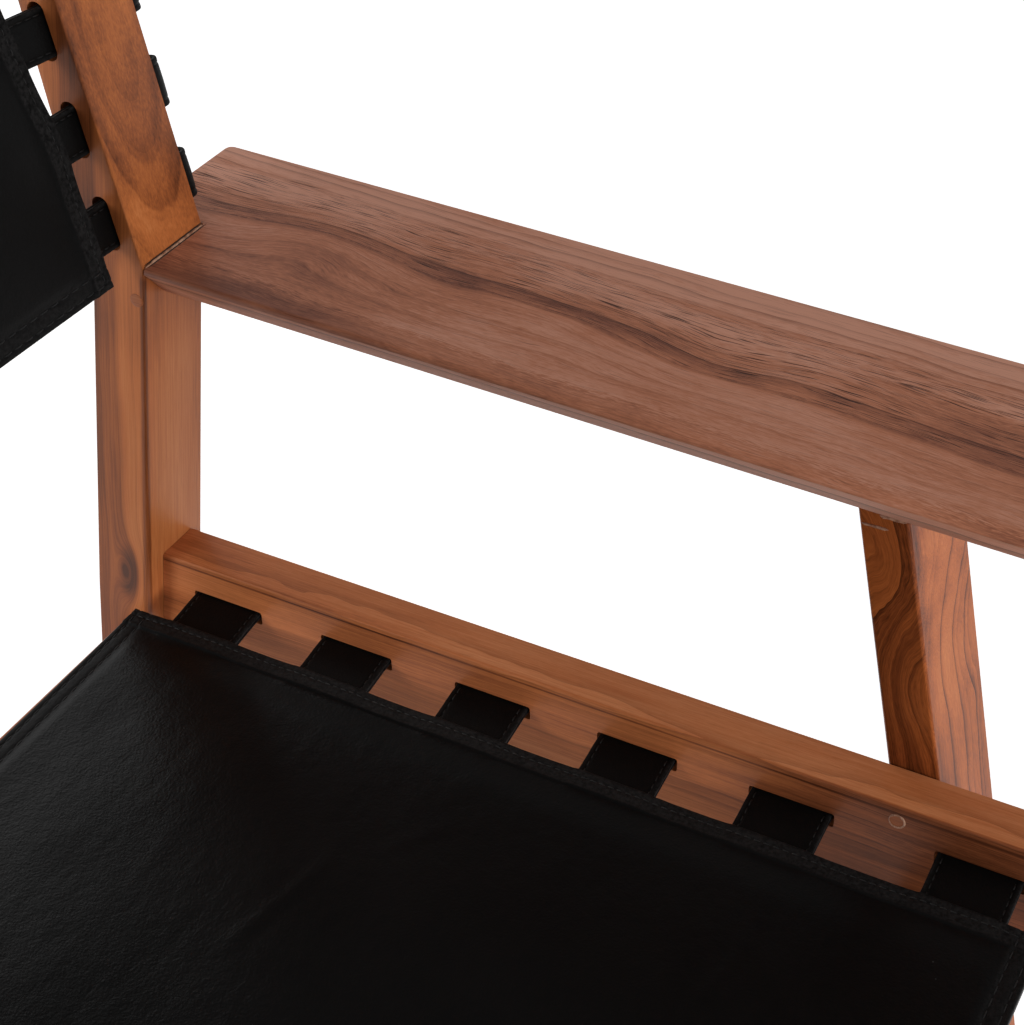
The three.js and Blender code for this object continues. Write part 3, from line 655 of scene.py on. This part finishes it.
# %% Where the tabs are
LAYER = 2.1  # one thickness of tab leather, in millimetres as all the numbers in this cell
LAYER_GAP = 0.2
HEM_LAP = 14.0
RING_FIT = 0.3

TAB_KINDS = {
    "seat": {"frame": SEAT, "count": 6, "width": 43.0, "dowel": 6.0,
             "outer": rail_high.x / MM, "inner": rail_low.x / MM},
    "back": {"frame": BACK, "count": 5, "width": 25.0, "dowel": 5.0,
             "outer": post_high.x / MM, "inner": post_low.x / MM},
}


def tab_spot(kind, index):
    """The middle of the dowel in a left tab, in the tab's own tilted frame and in millimetres."""
    spot = TAB_KINDS[kind]["frame"].inverted() @ middle_of(f"{kind}_dowel_left_{index}")
    return spot / MM


def tab_numbers(kind):
    return range(1, TAB_KINDS[kind]["count"] + 1)


def tab_along(kind):
    axis = 1 if kind == "seat" else 2
    return [tab_spot(kind, index)[axis] for index in tab_numbers(kind)]


for kind in TAB_KINDS:
    print(kind, "tabs at", [round(value, 1) for value in tab_along(kind)])

# %% The edges of the two slings
HEM_THICK = 2.6
SEAT_EDGE, SEAT_EDGE_FALL = 20.8, 1.0  # below the rail's top: at the rear, and the more towards the front
BACK_EDGE, BACK_EDGE_GIVE = 9.0, 5.0  # behind the post's face: at the corners, and the more between them
BACK_DRAW = 6.0  # how far the sides of the back are drawn in between the corners
BACK_FLARE = 1.5  # how far the corners stand out at the ends
SLING_HANG = {"seat": 2.5, "back": 5.0}  # how much lower the middle hangs than the sides
SLING_HALF = {kind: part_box(f"{kind}_sling")[1].x / MM for kind in TAB_KINDS}


def ease(value, low, high):
    share = min(1.0, max(0.0, (value - low) / (high - low)))
    return share * share * (3 - 2 * share)


def sling_edge(kind, along):
    """A side edge's distance from the chair's middle plane, and from the face of its rail or post."""
    if kind == "seat":
        return SLING_HALF[kind], SEAT_EDGE + SEAT_EDGE_FALL * ease(-along, 60, 260)
    give = ease(along, 60, 150) * (1 - 0.6 * ease(along, 190, 250))
    flare = BACK_FLARE * (1 - ease(along, -2, 20))
    return SLING_HALF[kind] - BACK_DRAW * give + flare, BACK_EDGE + BACK_EDGE_GIVE * give


for kind in TAB_KINDS:
    edges = [sling_edge(kind, along) for along in tab_along(kind)]
    print(kind, "edges", [tuple(round(value, 1) for value in edge) for edge in edges])

# %% The folded path of a tab
ARC_STEP = 1.5
STRAIGHT_STEP = 3.0
SOFT_PASSES = 3


def strap_run(kind, index):
    """A strap's reach to its dowel, its span to the sling, and its falls on the way and in the hem."""
    tab, spot = TAB_KINDS[kind], tab_spot(kind, index)
    along, level = (spot.y, -spot.z) if kind == "seat" else (spot.z, spot.y)
    half, edge = sling_edge(kind, along)
    return {
        "reach": spot.x - tab["outer"],
        "wall": tab["outer"] - tab["inner"],
        "span": tab["inner"] - half,
        "fall": edge + HEM_THICK + LAYER + LAYER_GAP / 2 - level,
        "lap_fall": 2 * SLING_HANG[kind] / half * HEM_LAP,
        "dowel": tab["dowel"],
    }


def strap_level(run, outward):
    """The level of the doubled strap's middle, by its distance outward from the frame's outer face."""
    into_span = ease(-outward, run["wall"], run["wall"] + run["span"])
    into_lap = max(0.0, -outward - run["wall"] - run["span"]) / HEM_LAP
    return -run["fall"] * into_span - run["lap_fall"] * into_lap


def strip_path(run):
    """Points (outward, level) of the strip's middle, from the hem, round the dowel and back."""
    half = (LAYER + LAYER_GAP) / 2
    ring = run["dowel"] + RING_FIT + LAYER / 2
    reach = run["reach"]
    mouth = math.asin(half / ring)
    start = -run["wall"] - run["span"] - HEM_LAP
    neck = reach - ring * math.cos(mouth) - 1.0
    steps = round((neck - start) / STRAIGHT_STEP)
    straight = [start + (neck - start) * step / steps for step in range(steps + 1)]
    turns = round(2 * (math.pi - mouth) * ring / ARC_STEP)
    sweep_angle = [math.pi - mouth - 2 * (math.pi - mouth) * step / turns for step in range(turns + 1)]
    upper = [Vector((u, strap_level(run, u) + half)) for u in straight]
    round_dowel = [Vector((reach + ring * math.cos(a), ring * math.sin(a))) for a in sweep_angle]
    lower = [Vector((u, strap_level(run, u) - half)) for u in reversed(straight)]
    return soften([*upper, *round_dowel, *lower])


def soften(points):
    for _ in range(SOFT_PASSES):
        middle = [(a + 2 * b + c) / 4 for a, b, c in zip(points, points[1:], points[2:])]
        points = [points[0], *middle, points[-1]]
    return points


print("seat strip has", len(strip_path(strap_run("seat", 1))), "stations")

# %% The strip's cross-section and the sewn tabs
TAB_ROW = 3.2  # stitch row from the tab's edge
FURROW_DEEP = 0.32
FURROW_REACH = 0.5
EDGE_ROLL = 0.7


def edge_drop(inset, roll):
    """How far a rounded edge has fallen away at a distance in from it."""
    share = max(0.0, 1 - inset / roll)
    return roll * (1 - math.sqrt(max(0.0, 1 - share * share)))


def furrow(inset, row, deep, reach):
    return deep * math.exp(-((inset - row) / reach) ** 2)


def strip_section(width):
    """Points (across, thickness, wear) round the strip: its grain side, then its flesh side."""
    insets = [0.0, 0.2, 0.5, 1.0, 1.8, 2.5, 2.9, 3.2, 3.5, 3.9, 4.8, 7.0, width / 2]
    grain = []
    for inset in insets:
        height = LAYER / 2 - edge_drop(inset, EDGE_ROLL) - furrow(inset, TAB_ROW, FURROW_DEEP, FURROW_REACH)
        wear = 1 - ease(inset, 0.4, 2.4)
        grain.append((inset - width / 2, height + 0.15 * ease(inset, TAB_ROW, width / 2), wear))
    mirrored = [(-across, height, wear) for across, height, wear in reversed(grain[:-1])]
    flesh = [(width / 2 - 0.15, -LAYER / 2, 1.0), (-width / 2 + 0.15, -LAYER / 2, 1.0)]
    return [*grain, *mirrored, *flesh]


def carry_section(shell, path, section, place):
    """The section carried along the path as a closed tube, and put on the chair by place."""
    wear_layer = shell.verts.layers.float.new("edge_wear")
    circles = []
    for index, point in enumerate(path):
        before = path[max(index - 1, 0)]
        after = path[min(index + 1, len(path) - 1)]
        heading = (after - before).normalized()
        normal = Vector((-heading.y, heading.x))
        circles.append([place(point + normal * thick, across) for across, thick, _ in section])
    for ring in tube(shell, circles):
        for corner, (_, _, wear) in zip(ring, section):
            corner[wear_layer] = wear


def tab_place(kind, side, index):
    """Turns a strip's (outward, level) and its offset across into a point on the chair."""
    matrix, outer = TAB_KINDS[kind]["frame"], TAB_KINDS[kind]["outer"]
    spot = tab_spot(kind, index)

    def place(point, across):
        outward = SIDES[side] * (outer + point.x)
        if kind == "seat":
            return matrix @ (Vector((outward, spot.y + across, spot.z + point.y)) * MM)
        return matrix @ (Vector((outward, spot.y - point.y, spot.z + across)) * MM)
    return place


def add_piece(name, shell, material):
    bmesh.ops.recalc_face_normals(shell, faces=shell.faces)
    piece = make_object(name, shell, material)
    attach(piece, "root")
    return piece


def sew_tab(kind, side, index):
    tab = TAB_KINDS[kind]
    path = strip_path(strap_run(kind, index))
    shell = bmesh.new()
    carry_section(shell, path, strip_section(tab["width"]), tab_place(kind, side, index))
    piece = add_piece(f"{kind}_strap_{side}_{index}", shell, tab_hide)
    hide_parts(f"{kind}_tab_{side}_{index}")
    strip_length = sum((b - a).length for a, b in zip(path, path[1:]))
    return strip_length


for kind, tab in TAB_KINDS.items():
    lengths = [sew_tab(kind, side, index) for side in SIDES for index in tab_numbers(kind)]
    print(kind, "tabs", len(lengths), "cut", round(tab["width"]), "by", round(lengths[0]), "mm")

# %% [markdown]
# A sling is one panel of hide with its edges folded under and sewn. It hangs between the tabs, so it is
# pulled up and out at each tab and dips a little between them. The mesh is a grid that is fine near the hems
# and wide in the middle. Cloth simulation could hang it, but stretched leather hardly moves, so a formula is
# enough.

# %% Sling sizes
SLING_THICK = 1.7
HEM_LIFT = 0.5
HEM_STEP = 1.6
HEM_RIDGE = 0.3
SIDE_ROWS, SIDE_BAND = (5.0,), 12.0
END_ROWS, END_BAND = (3.8, 10.8), 13.2
PANEL_ROLL = 1.2
PANEL_FURROW, PANEL_FURROW_REACH = 0.4, 0.8
TAB_BUMP = 0.5
BETWEEN_DIP, DIP_REACH = 0.2, 32.0
BETWEEN_PULL, PULL_REACH = 0.25, 16.0
SLOW_WAVE, WAVE_SPAN = 0.7, 75.0
QUICK_WAVE, QUICK_SPAN = 0.14, 19.0
WRINKLE, WRINKLE_SPANS = 0.1, (22.0, 7.0)
END_STEP, END_SWELL, SWELL_REACH = 0.9, 1.4, 70.0
COLUMN_STEP = 6.5
CREASES = {  # from, to, rise and reach of each crease: across the chair and along the sling
    "seat": [((60, -186), (140, -203), 0.5, 3.5), ((148, -219), (182, -244), 0.4, 3.5),
             ((186, -405), (130, -397), 0.4, 3.5)],
    "back": [],
}

SLINGS = {  # margins beyond the end tabs, the grid's step along the sling, and the seed of its waves
    "seat": {"margins": (18.7, 23.2), "row_step": 3.0, "seed": 21.0},
    "back": {"margins": (15.3, 15.3), "row_step": 4.0, "seed": 9.0},
}
for kind, sling in SLINGS.items():
    sling["tabs"] = sorted(tab_along(kind))
    half_tab = TAB_KINDS[kind]["width"] / 2
    sling["from"] = sling["tabs"][0] - half_tab - sling["margins"][0]
    sling["to"] = sling["tabs"][-1] + half_tab + sling["margins"][1]
    print(kind, "sling", round(2 * SLING_HALF[kind]), "by", round(sling["to"] - sling["from"]), "mm")

# %% The sling's surface
HEM_INSETS = (0.0, 0.3, 0.7, 1.2, 2.2, 3.0, 3.4, 3.8, 4.2, 4.7, 5.2, 6.0, 7.6, 9.4, 10.2, 10.8, 11.4, 12.0,
              12.6, 13.2, 13.9, 14.8, 16.5, 19.0, 22.0)


def graded(low, high, count):
    """Grid lines from low to high: close together in the hems, and a count of even steps between them."""
    middle_low, middle_high = low + HEM_INSETS[-1], high - HEM_INSETS[-1]
    between = [middle_low + (middle_high - middle_low) * index / count for index in range(1, count)]
    first = [low + inset for inset in HEM_INSETS]
    last = [high - inset for inset in reversed(HEM_INSETS)]
    return [*first, *between, *last]


def side_hem(inset):
    """The lift of a folded side hem at a distance in from the edge."""
    past = inset - SIDE_BAND
    return HEM_LIFT * (1 - ease(past, 0.0, HEM_STEP)) + HEM_RIDGE * math.exp(-past ** 2)


def end_rise(inset):
    """The rise of the panel beside a pressed end hem: a quick step, then a long soft swell."""
    past = inset - END_BAND
    return END_STEP * ease(past, -1.5, 4.0) + END_SWELL * ease(past, 0.0, SWELL_REACH)


def row_depth(inset, rows):
    """How deep the stitch rows are pulled in at a distance from the edge."""
    return sum(furrow(inset, row, PANEL_FURROW, PANEL_FURROW_REACH) for row in rows)


def sling_insets(kind, across, along):
    """Distances in from the nearer side edge and from the nearer end of a sling."""
    sling = SLINGS[kind]
    return sling_edge(kind, along)[0] - abs(across), min(along - sling["from"], sling["to"] - along)


def sling_point(kind, across, along):
    """Sideways shift and height above the plain hanging face, in millimetres, and the leather's thickness."""
    sling = SLINGS[kind]
    seed = sling["seed"]
    side_inset, end_inset = sling_insets(kind, across, along)
    inset = min(side_inset, end_inset)
    rows_deep = row_depth(side_inset, SIDE_ROWS) + row_depth(end_inset, END_ROWS)
    from_tab = min(abs(along - tab) for tab in sling["tabs"]) - TAB_KINDS[kind]["width"] / 2
    between = ease(from_tab, -3.0, 14.0)
    over_tab = (1 - ease(from_tab, -1.5, 1.5)) * (1 - ease(side_inset, HEM_LAP - 1.0, HEM_LAP + 3.0))
    spot = Vector((across, along, 0.0))
    wave = SLOW_WAVE * noise.noise(spot / WAVE_SPAN + Vector((0.0, 0.0, seed)))
    wave += QUICK_WAVE * noise.noise(spot / QUICK_SPAN + Vector((seed, 0.0, 0.0)))
    wrinkle = noise.noise(Vector((across / WRINKLE_SPANS[0], along / WRINKLE_SPANS[1], seed)))
    swell = end_rise(end_inset) * ease(side_inset, SIDE_BAND, SIDE_BAND + 25.0)
    height = side_hem(side_inset) + swell - rows_deep + TAB_BUMP * over_tab
    height -= max(edge_drop(side_inset, PANEL_ROLL), edge_drop(end_inset, PANEL_ROLL))
    height -= BETWEEN_DIP * between * math.exp(-side_inset / DIP_REACH)
    height += wave * ease(inset, 0.0, 40.0) + crease_height(kind, across, along)
    height += WRINKLE * wrinkle * ease(inset, 14.0, 30.0)
    shift = -math.copysign(BETWEEN_PULL * between * math.exp(-side_inset / PULL_REACH), across)
    folded = 1 - ease(min(side_inset - SIDE_BAND, end_inset - END_BAND), 0.0, 2.0)
    return shift, height, SLING_THICK + (HEM_THICK - SLING_THICK) * folded


def sling_wear(kind, across, along):
    """How rubbed the leather is: one on the folded hems, and nothing on the panel."""
    side_inset, end_inset = sling_insets(kind, across, along)
    side_wear = 1 - ease(side_inset - SIDE_BAND, -1.0, 1.0)
    end_wear = 1 - ease(end_inset - END_BAND, -1.0, 1.0)
    return max(side_wear, 0.6 * end_wear)


def crease_height(kind, across, along):
    """The height of the long soft creases that sitting has left, at a place on the sling."""
    height = 0.0
    here = Vector((across, along))
    for start, end, rise, reach in CREASES[kind]:
        start, end = Vector(start), Vector(end)
        share = (here - start).dot(end - start) / (end - start).length_squared
        nearest = start.lerp(end, min(1.0, max(0.0, share)))
        fade = ease(share, -0.1, 0.25) * (1 - ease(share, 0.75, 1.1))
        height += rise * fade * math.exp(-((here - nearest).length / reach) ** 2)
    return height


def sling_place(kind, across, along, height):
    half, edge = sling_edge(kind, along)
    hang = edge + SLING_HANG[kind] * (1 - (across / half) ** 2)
    if kind == "seat":
        return SEAT @ (Vector((across, along, height - hang)) * MM)
    return BACK @ (Vector((across, hang - height, along)) * MM)


def sew_sling(kind):
    """The hide as a tube of rows, each with its grain side and then its flesh side, and two sewn ends."""
    sling = SLINGS[kind]
    row_count = round((sling["to"] - sling["from"]) / sling["row_step"])
    column_count = round(2 * SLING_HALF[kind] / COLUMN_STEP)
    shell = bmesh.new()
    wear_layer = shell.verts.layers.float.new("edge_wear")
    rings = []
    for along in graded(sling["from"], sling["to"], row_count):
        half = sling_edge(kind, along)[0]
        grain_row, flesh_row = [], []
        for across in graded(-half, half, column_count):
            shift, height, thick = sling_point(kind, across, along)
            under = min(height, 0.0) - thick
            grain_row.append(shell.verts.new(sling_place(kind, across + shift, along, height)))
            flesh_row.append(shell.verts.new(sling_place(kind, across + shift, along, under)))
            grain_row[-1][wear_layer] = flesh_row[-1][wear_layer] = sling_wear(kind, across, along)
        rings.append([*grain_row, *reversed(flesh_row)])
    join(shell, rings)
    for ring in (rings[0], rings[-1]):
        for column in range(len(ring) // 2 - 1):
            shell.faces.new((ring[column], ring[column + 1], ring[-column - 2], ring[-column - 1]))
    piece = add_piece(f"{kind}_hide", shell, sling_hides[kind])
    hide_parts(f"{kind}_sling")
    return piece


for kind, sling in SLINGS.items():
    hide = sew_sling(kind)
    chord = 2 * SLING_HALF[kind]
    arc = chord * (1 + 8 / 3 * (SLING_HANG[kind] / chord) ** 2)
    cut = (arc + 2 * SIDE_BAND, sling["to"] - sling["from"] + 2 * END_BAND)
    straps = [f"{kind}_strap_{side}_{index}" for side in SIDES for index in tab_numbers(kind)]
    print(kind, "sling cut", [round(value) for value in cut], "mm,", len(hide.data.polygons), "faces")

# %% [markdown]
# Stitches are what make a hem read as sewn. Each one is a short arched length of waxed thread whose ends dive
# into the leather. A bump texture would vanish at an edge, and a stitch is cheap, so they are real geometry,
# and all the stitches of one sling or one set of tabs are one piece.

# %% Stitching
STITCH_PITCH = {"side": 5.0, "end": 7.6, "tab": 5.0}
STITCH_SHARE = 0.72
THREAD_RADIUS = 0.36
STITCH_SIDES = 5
STITCH_ARCH = ((0.0, -0.3), (0.25, 0.16), (0.75, 0.16), (1.0, -0.3))


def add_stitch(shell, start, end, up):
    beside = (end - start).normalized().cross(up).normalized()
    middles = [start.lerp(end, share) + up * height * MM for share, height in STITCH_ARCH]
    tube(shell, [circle(middle, beside, up, THREAD_RADIUS * MM, STITCH_SIDES) for middle in middles])


def stitch_spots(low, high, row_kind):
    """The ends of each stitch in a row, with the stitches spread evenly along it."""
    count = max(1, round((high - low) / STITCH_PITCH[row_kind]))
    pitch = (high - low) / count
    reach = pitch * STITCH_SHARE / 2
    middles = [low + pitch * (index + 0.5) for index in range(count)]
    return [(middle - reach, middle + reach) for middle in middles]


def sling_surface(kind, across, along):
    shift, height, _ = sling_point(kind, across, along)
    return sling_place(kind, across + shift, along, height)


def stitch_sling(kind):
    sling = SLINGS[kind]
    low, high = sling["from"], sling["to"]
    face_up = SEAT.to_3x3() @ UPWARD if kind == "seat" else BACK.to_3x3() @ -REARWARD
    shell = bmesh.new()
    for sign in SIDES.values():
        for row in SIDE_ROWS:
            for spots in stitch_spots(low + row, high - row, "side"):
                ends = [(sign * (sling_edge(kind, along)[0] - row), along) for along in spots]
                add_stitch(shell, *(sling_surface(kind, *end) for end in ends), face_up)
    for row in END_ROWS:
        for along in (low + row, high - row):
            half = sling_edge(kind, along)[0]
            for spots in stitch_spots(SIDE_ROWS[0] - half, half - SIDE_ROWS[0], "end"):
                add_stitch(shell, *(sling_surface(kind, spot, along) for spot in spots), face_up)
    return add_piece(f"{kind}_sling_stitches", shell, thread_finish)


def stitch_tabs(kind):
    tab = TAB_KINDS[kind]
    shell = bmesh.new()
    half_strap = LAYER + LAYER_GAP / 2 - FURROW_DEEP
    for side in SIDES:
        for index in tab_numbers(kind):
            place = tab_place(kind, side, index)
            run = strap_run(kind, index)
            for face in (1, -1):
                up = (place(Vector((0, face)), 0) - place(Vector((0, 0)), 0)).normalized()
                far = run["span"] if face == 1 else run["span"] + HEM_LAP - 2
                for spots in stitch_spots(-run["wall"] - far, -run["wall"] - 1, "tab"):
                    for edge in (1, -1):
                        across = edge * (tab["width"] / 2 - TAB_ROW)
                        levels = [strap_level(run, spot) + face * half_strap for spot in spots]
                        ends = [place(Vector(point), across) for point in zip(spots, levels)]
                        add_stitch(shell, *ends, up)
    return add_piece(f"{kind}_tab_stitches", shell, thread_finish)


for kind in TAB_KINDS:
    sewn = stitch_sling(kind), stitch_tabs(kind)
    print(kind, "stitch faces", [len(piece.data.polygons) for piece in sewn])

# %% [markdown]
# The joints show the hand that made them. A bead of pale wood filler runs along the seam between each
# armrest and its post, and a thin dark bead on both sides of it is painted shadow of the gaps there. Short
# beads close the seams at the front legs, and a ring of filler shows round each plug. They are small, but a
# seam without them looks like a picture of a joint.

# %% Filler and painted seam shadow
BEAD_SIDES = 8
BEAD_STEP = 1.6
BEAD_WAVE, BEAD_WAVE_STEP = 0.45, 0.55  # how much a bead's thickness varies, and how quickly
BEAD_UP = Vector((0.35, 0.2, 0.9)).normalized()  # along no bead, so it can tell a bead's sides apart


def plain_finish(name, low, high):
    coat = Finish(name)
    specks = coat.cloud(coat.node("ShaderNodeTexCoord", out="Object"), 420.0, 3.0, 0.6)
    return coat.surface(
        Base_Color=coat.mix(coat.smooth(specks, 0.35, 0.65), low, high),
        Roughness=0.4 + specks * 0.2,
        Normal=coat.bump(specks, FINE_RELIEF, 0.6),
    )


filler_finish = plain_finish("wood_filler", paint(128, 84, 60), paint(184, 142, 116))
# Painted shadow: a dark finish for the beads that stand in for the shade in the seam's gaps.
seam_shadow_finish = plain_finish("painted_seam_shadow", paint(34, 20, 13), paint(60, 36, 24))


def lay_bead(shell, path, radius, seed):
    """An uneven bead along a path in metres, which thins out at both ends."""
    circles = []
    last = len(path) - 1
    for step, middle in enumerate(path):
        share = step / last
        heading = (path[min(step + 1, last)] - path[max(step - 1, 0)]).normalized()
        beside = heading.cross(BEAD_UP).normalized()
        taper = min(1.0, 0.25 + 6 * share, 0.25 + 6 * (1 - share))
        wave = 1 + BEAD_WAVE * noise.noise(Vector((step * BEAD_WAVE_STEP, seed, 0.0)))
        circles.append(circle(middle, beside, heading.cross(beside), radius * taper * wave, BEAD_SIDES))
    tube(shell, circles)


def seam(name, beads, material):
    """A piece made of beads, each one (start, end, radius) in millimetres and mirrored to the other side."""
    for side, sign in SIDES.items():
        shell = bmesh.new()
        for index, (start, end, radius) in enumerate(beads):
            ends = [Vector((sign * point[0], point[1], point[2])) * MM for point in (start, end)]
            steps = max(4, round((ends[1] - ends[0]).length / MM / BEAD_STEP))
            path = [ends[0].lerp(ends[1], step / steps) for step in range(steps + 1)]
            lay_bead(shell, path, radius * MM, 3.0 * index + sign)
        add_piece(f"{name}_{side}", shell, material)


bend_y, arm_top = bend_place.y / MM, arm_high.z / MM
inner, outer = post_low.x / MM, post_high.x / MM
seam("arm_seam_filler", [
    ((inner + 1, bend_y - 0.6, arm_top + 0.3), (outer - 1, bend_y - 0.6, arm_top + 0.3), 0.8),
], filler_finish)
# Painted shadow: two thin dark beads beside the filler, for the shade in the gaps.
seam("arm_seam_shadow", [
    ((inner + 1, bend_y - 0.1, arm_top + 1.2), (outer, bend_y - 0.1, arm_top + 1.2), 0.35),
    ((inner + 2, bend_y - 1.6, arm_top), (outer + 1, bend_y - 1.6, arm_top), 0.35),
], seam_shadow_finish)
leg_face = rail_high.x / MM
seam("leg_seam_filler", [
    ((leg_face, bend_y - 379, arm_top - 42.6), (leg_face, bend_y - 392, arm_top - 42.0), 0.9),
    ((leg_face, bend_y - 371, arm_top - 49.8), (leg_face, bend_y - 384, arm_top - 49.4), 0.7),
], filler_finish)
print("seams at the posts", round(outer - inner), "mm long")

# %% Plugs and their rings
POST_PLUG = {"behind": 7.0, "below": 20.6, "radius": 4.0, "rise": 0.3}  # from the bend, in millimetres
PLUG_DOME = ((1.0, -1.0), (0.96, 0.4), (0.8, 0.8), (0.4, 1.0))  # shares of the radius and of the rise
RING_STEPS = 28
RING_THICK = 0.55


def upright(middle, radius):
    """A circle in the upright plane along the chair's side."""
    return circle(middle, REARWARD, UPWARD, radius, RING_STEPS)


def plug_face(shell, middle, inward, radius, rise):
    """A low dome that closes a bored hole, with its rim just under the surface."""
    tube(shell, [upright(middle + inward * (height * rise), radius * share) for share, height in PLUG_DOME])


for side, sign in SIDES.items():
    shell = bmesh.new()
    plug_low, plug_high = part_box(f"rail_plug_{side}")
    rail_face = sign * rail_low.x
    ring_middle = Vector((rail_face, (plug_low.y + plug_high.y) / 2, (plug_low.z + plug_high.z) / 2))
    ring_radius = (plug_high.y - plug_low.y) / 2
    ring_path = upright(ring_middle, ring_radius)
    lay_bead(shell, [*ring_path, ring_path[0]], RING_THICK * MM, 5.0 + sign)
    add_piece(f"plug_ring_{side}", shell, filler_finish)
    shell = bmesh.new()
    place = Vector((sign * inner, bend_y + POST_PLUG["behind"], arm_top - POST_PLUG["below"])) * MM
    plug_face(shell, place, Vector((-sign, 0, 0)), POST_PLUG["radius"] * MM, POST_PLUG["rise"] * MM)
    add_piece(f"post_plug_{side}", shell, dowel_finish)
print("rings", round(2 * ring_radius / MM, 1), "mm across")
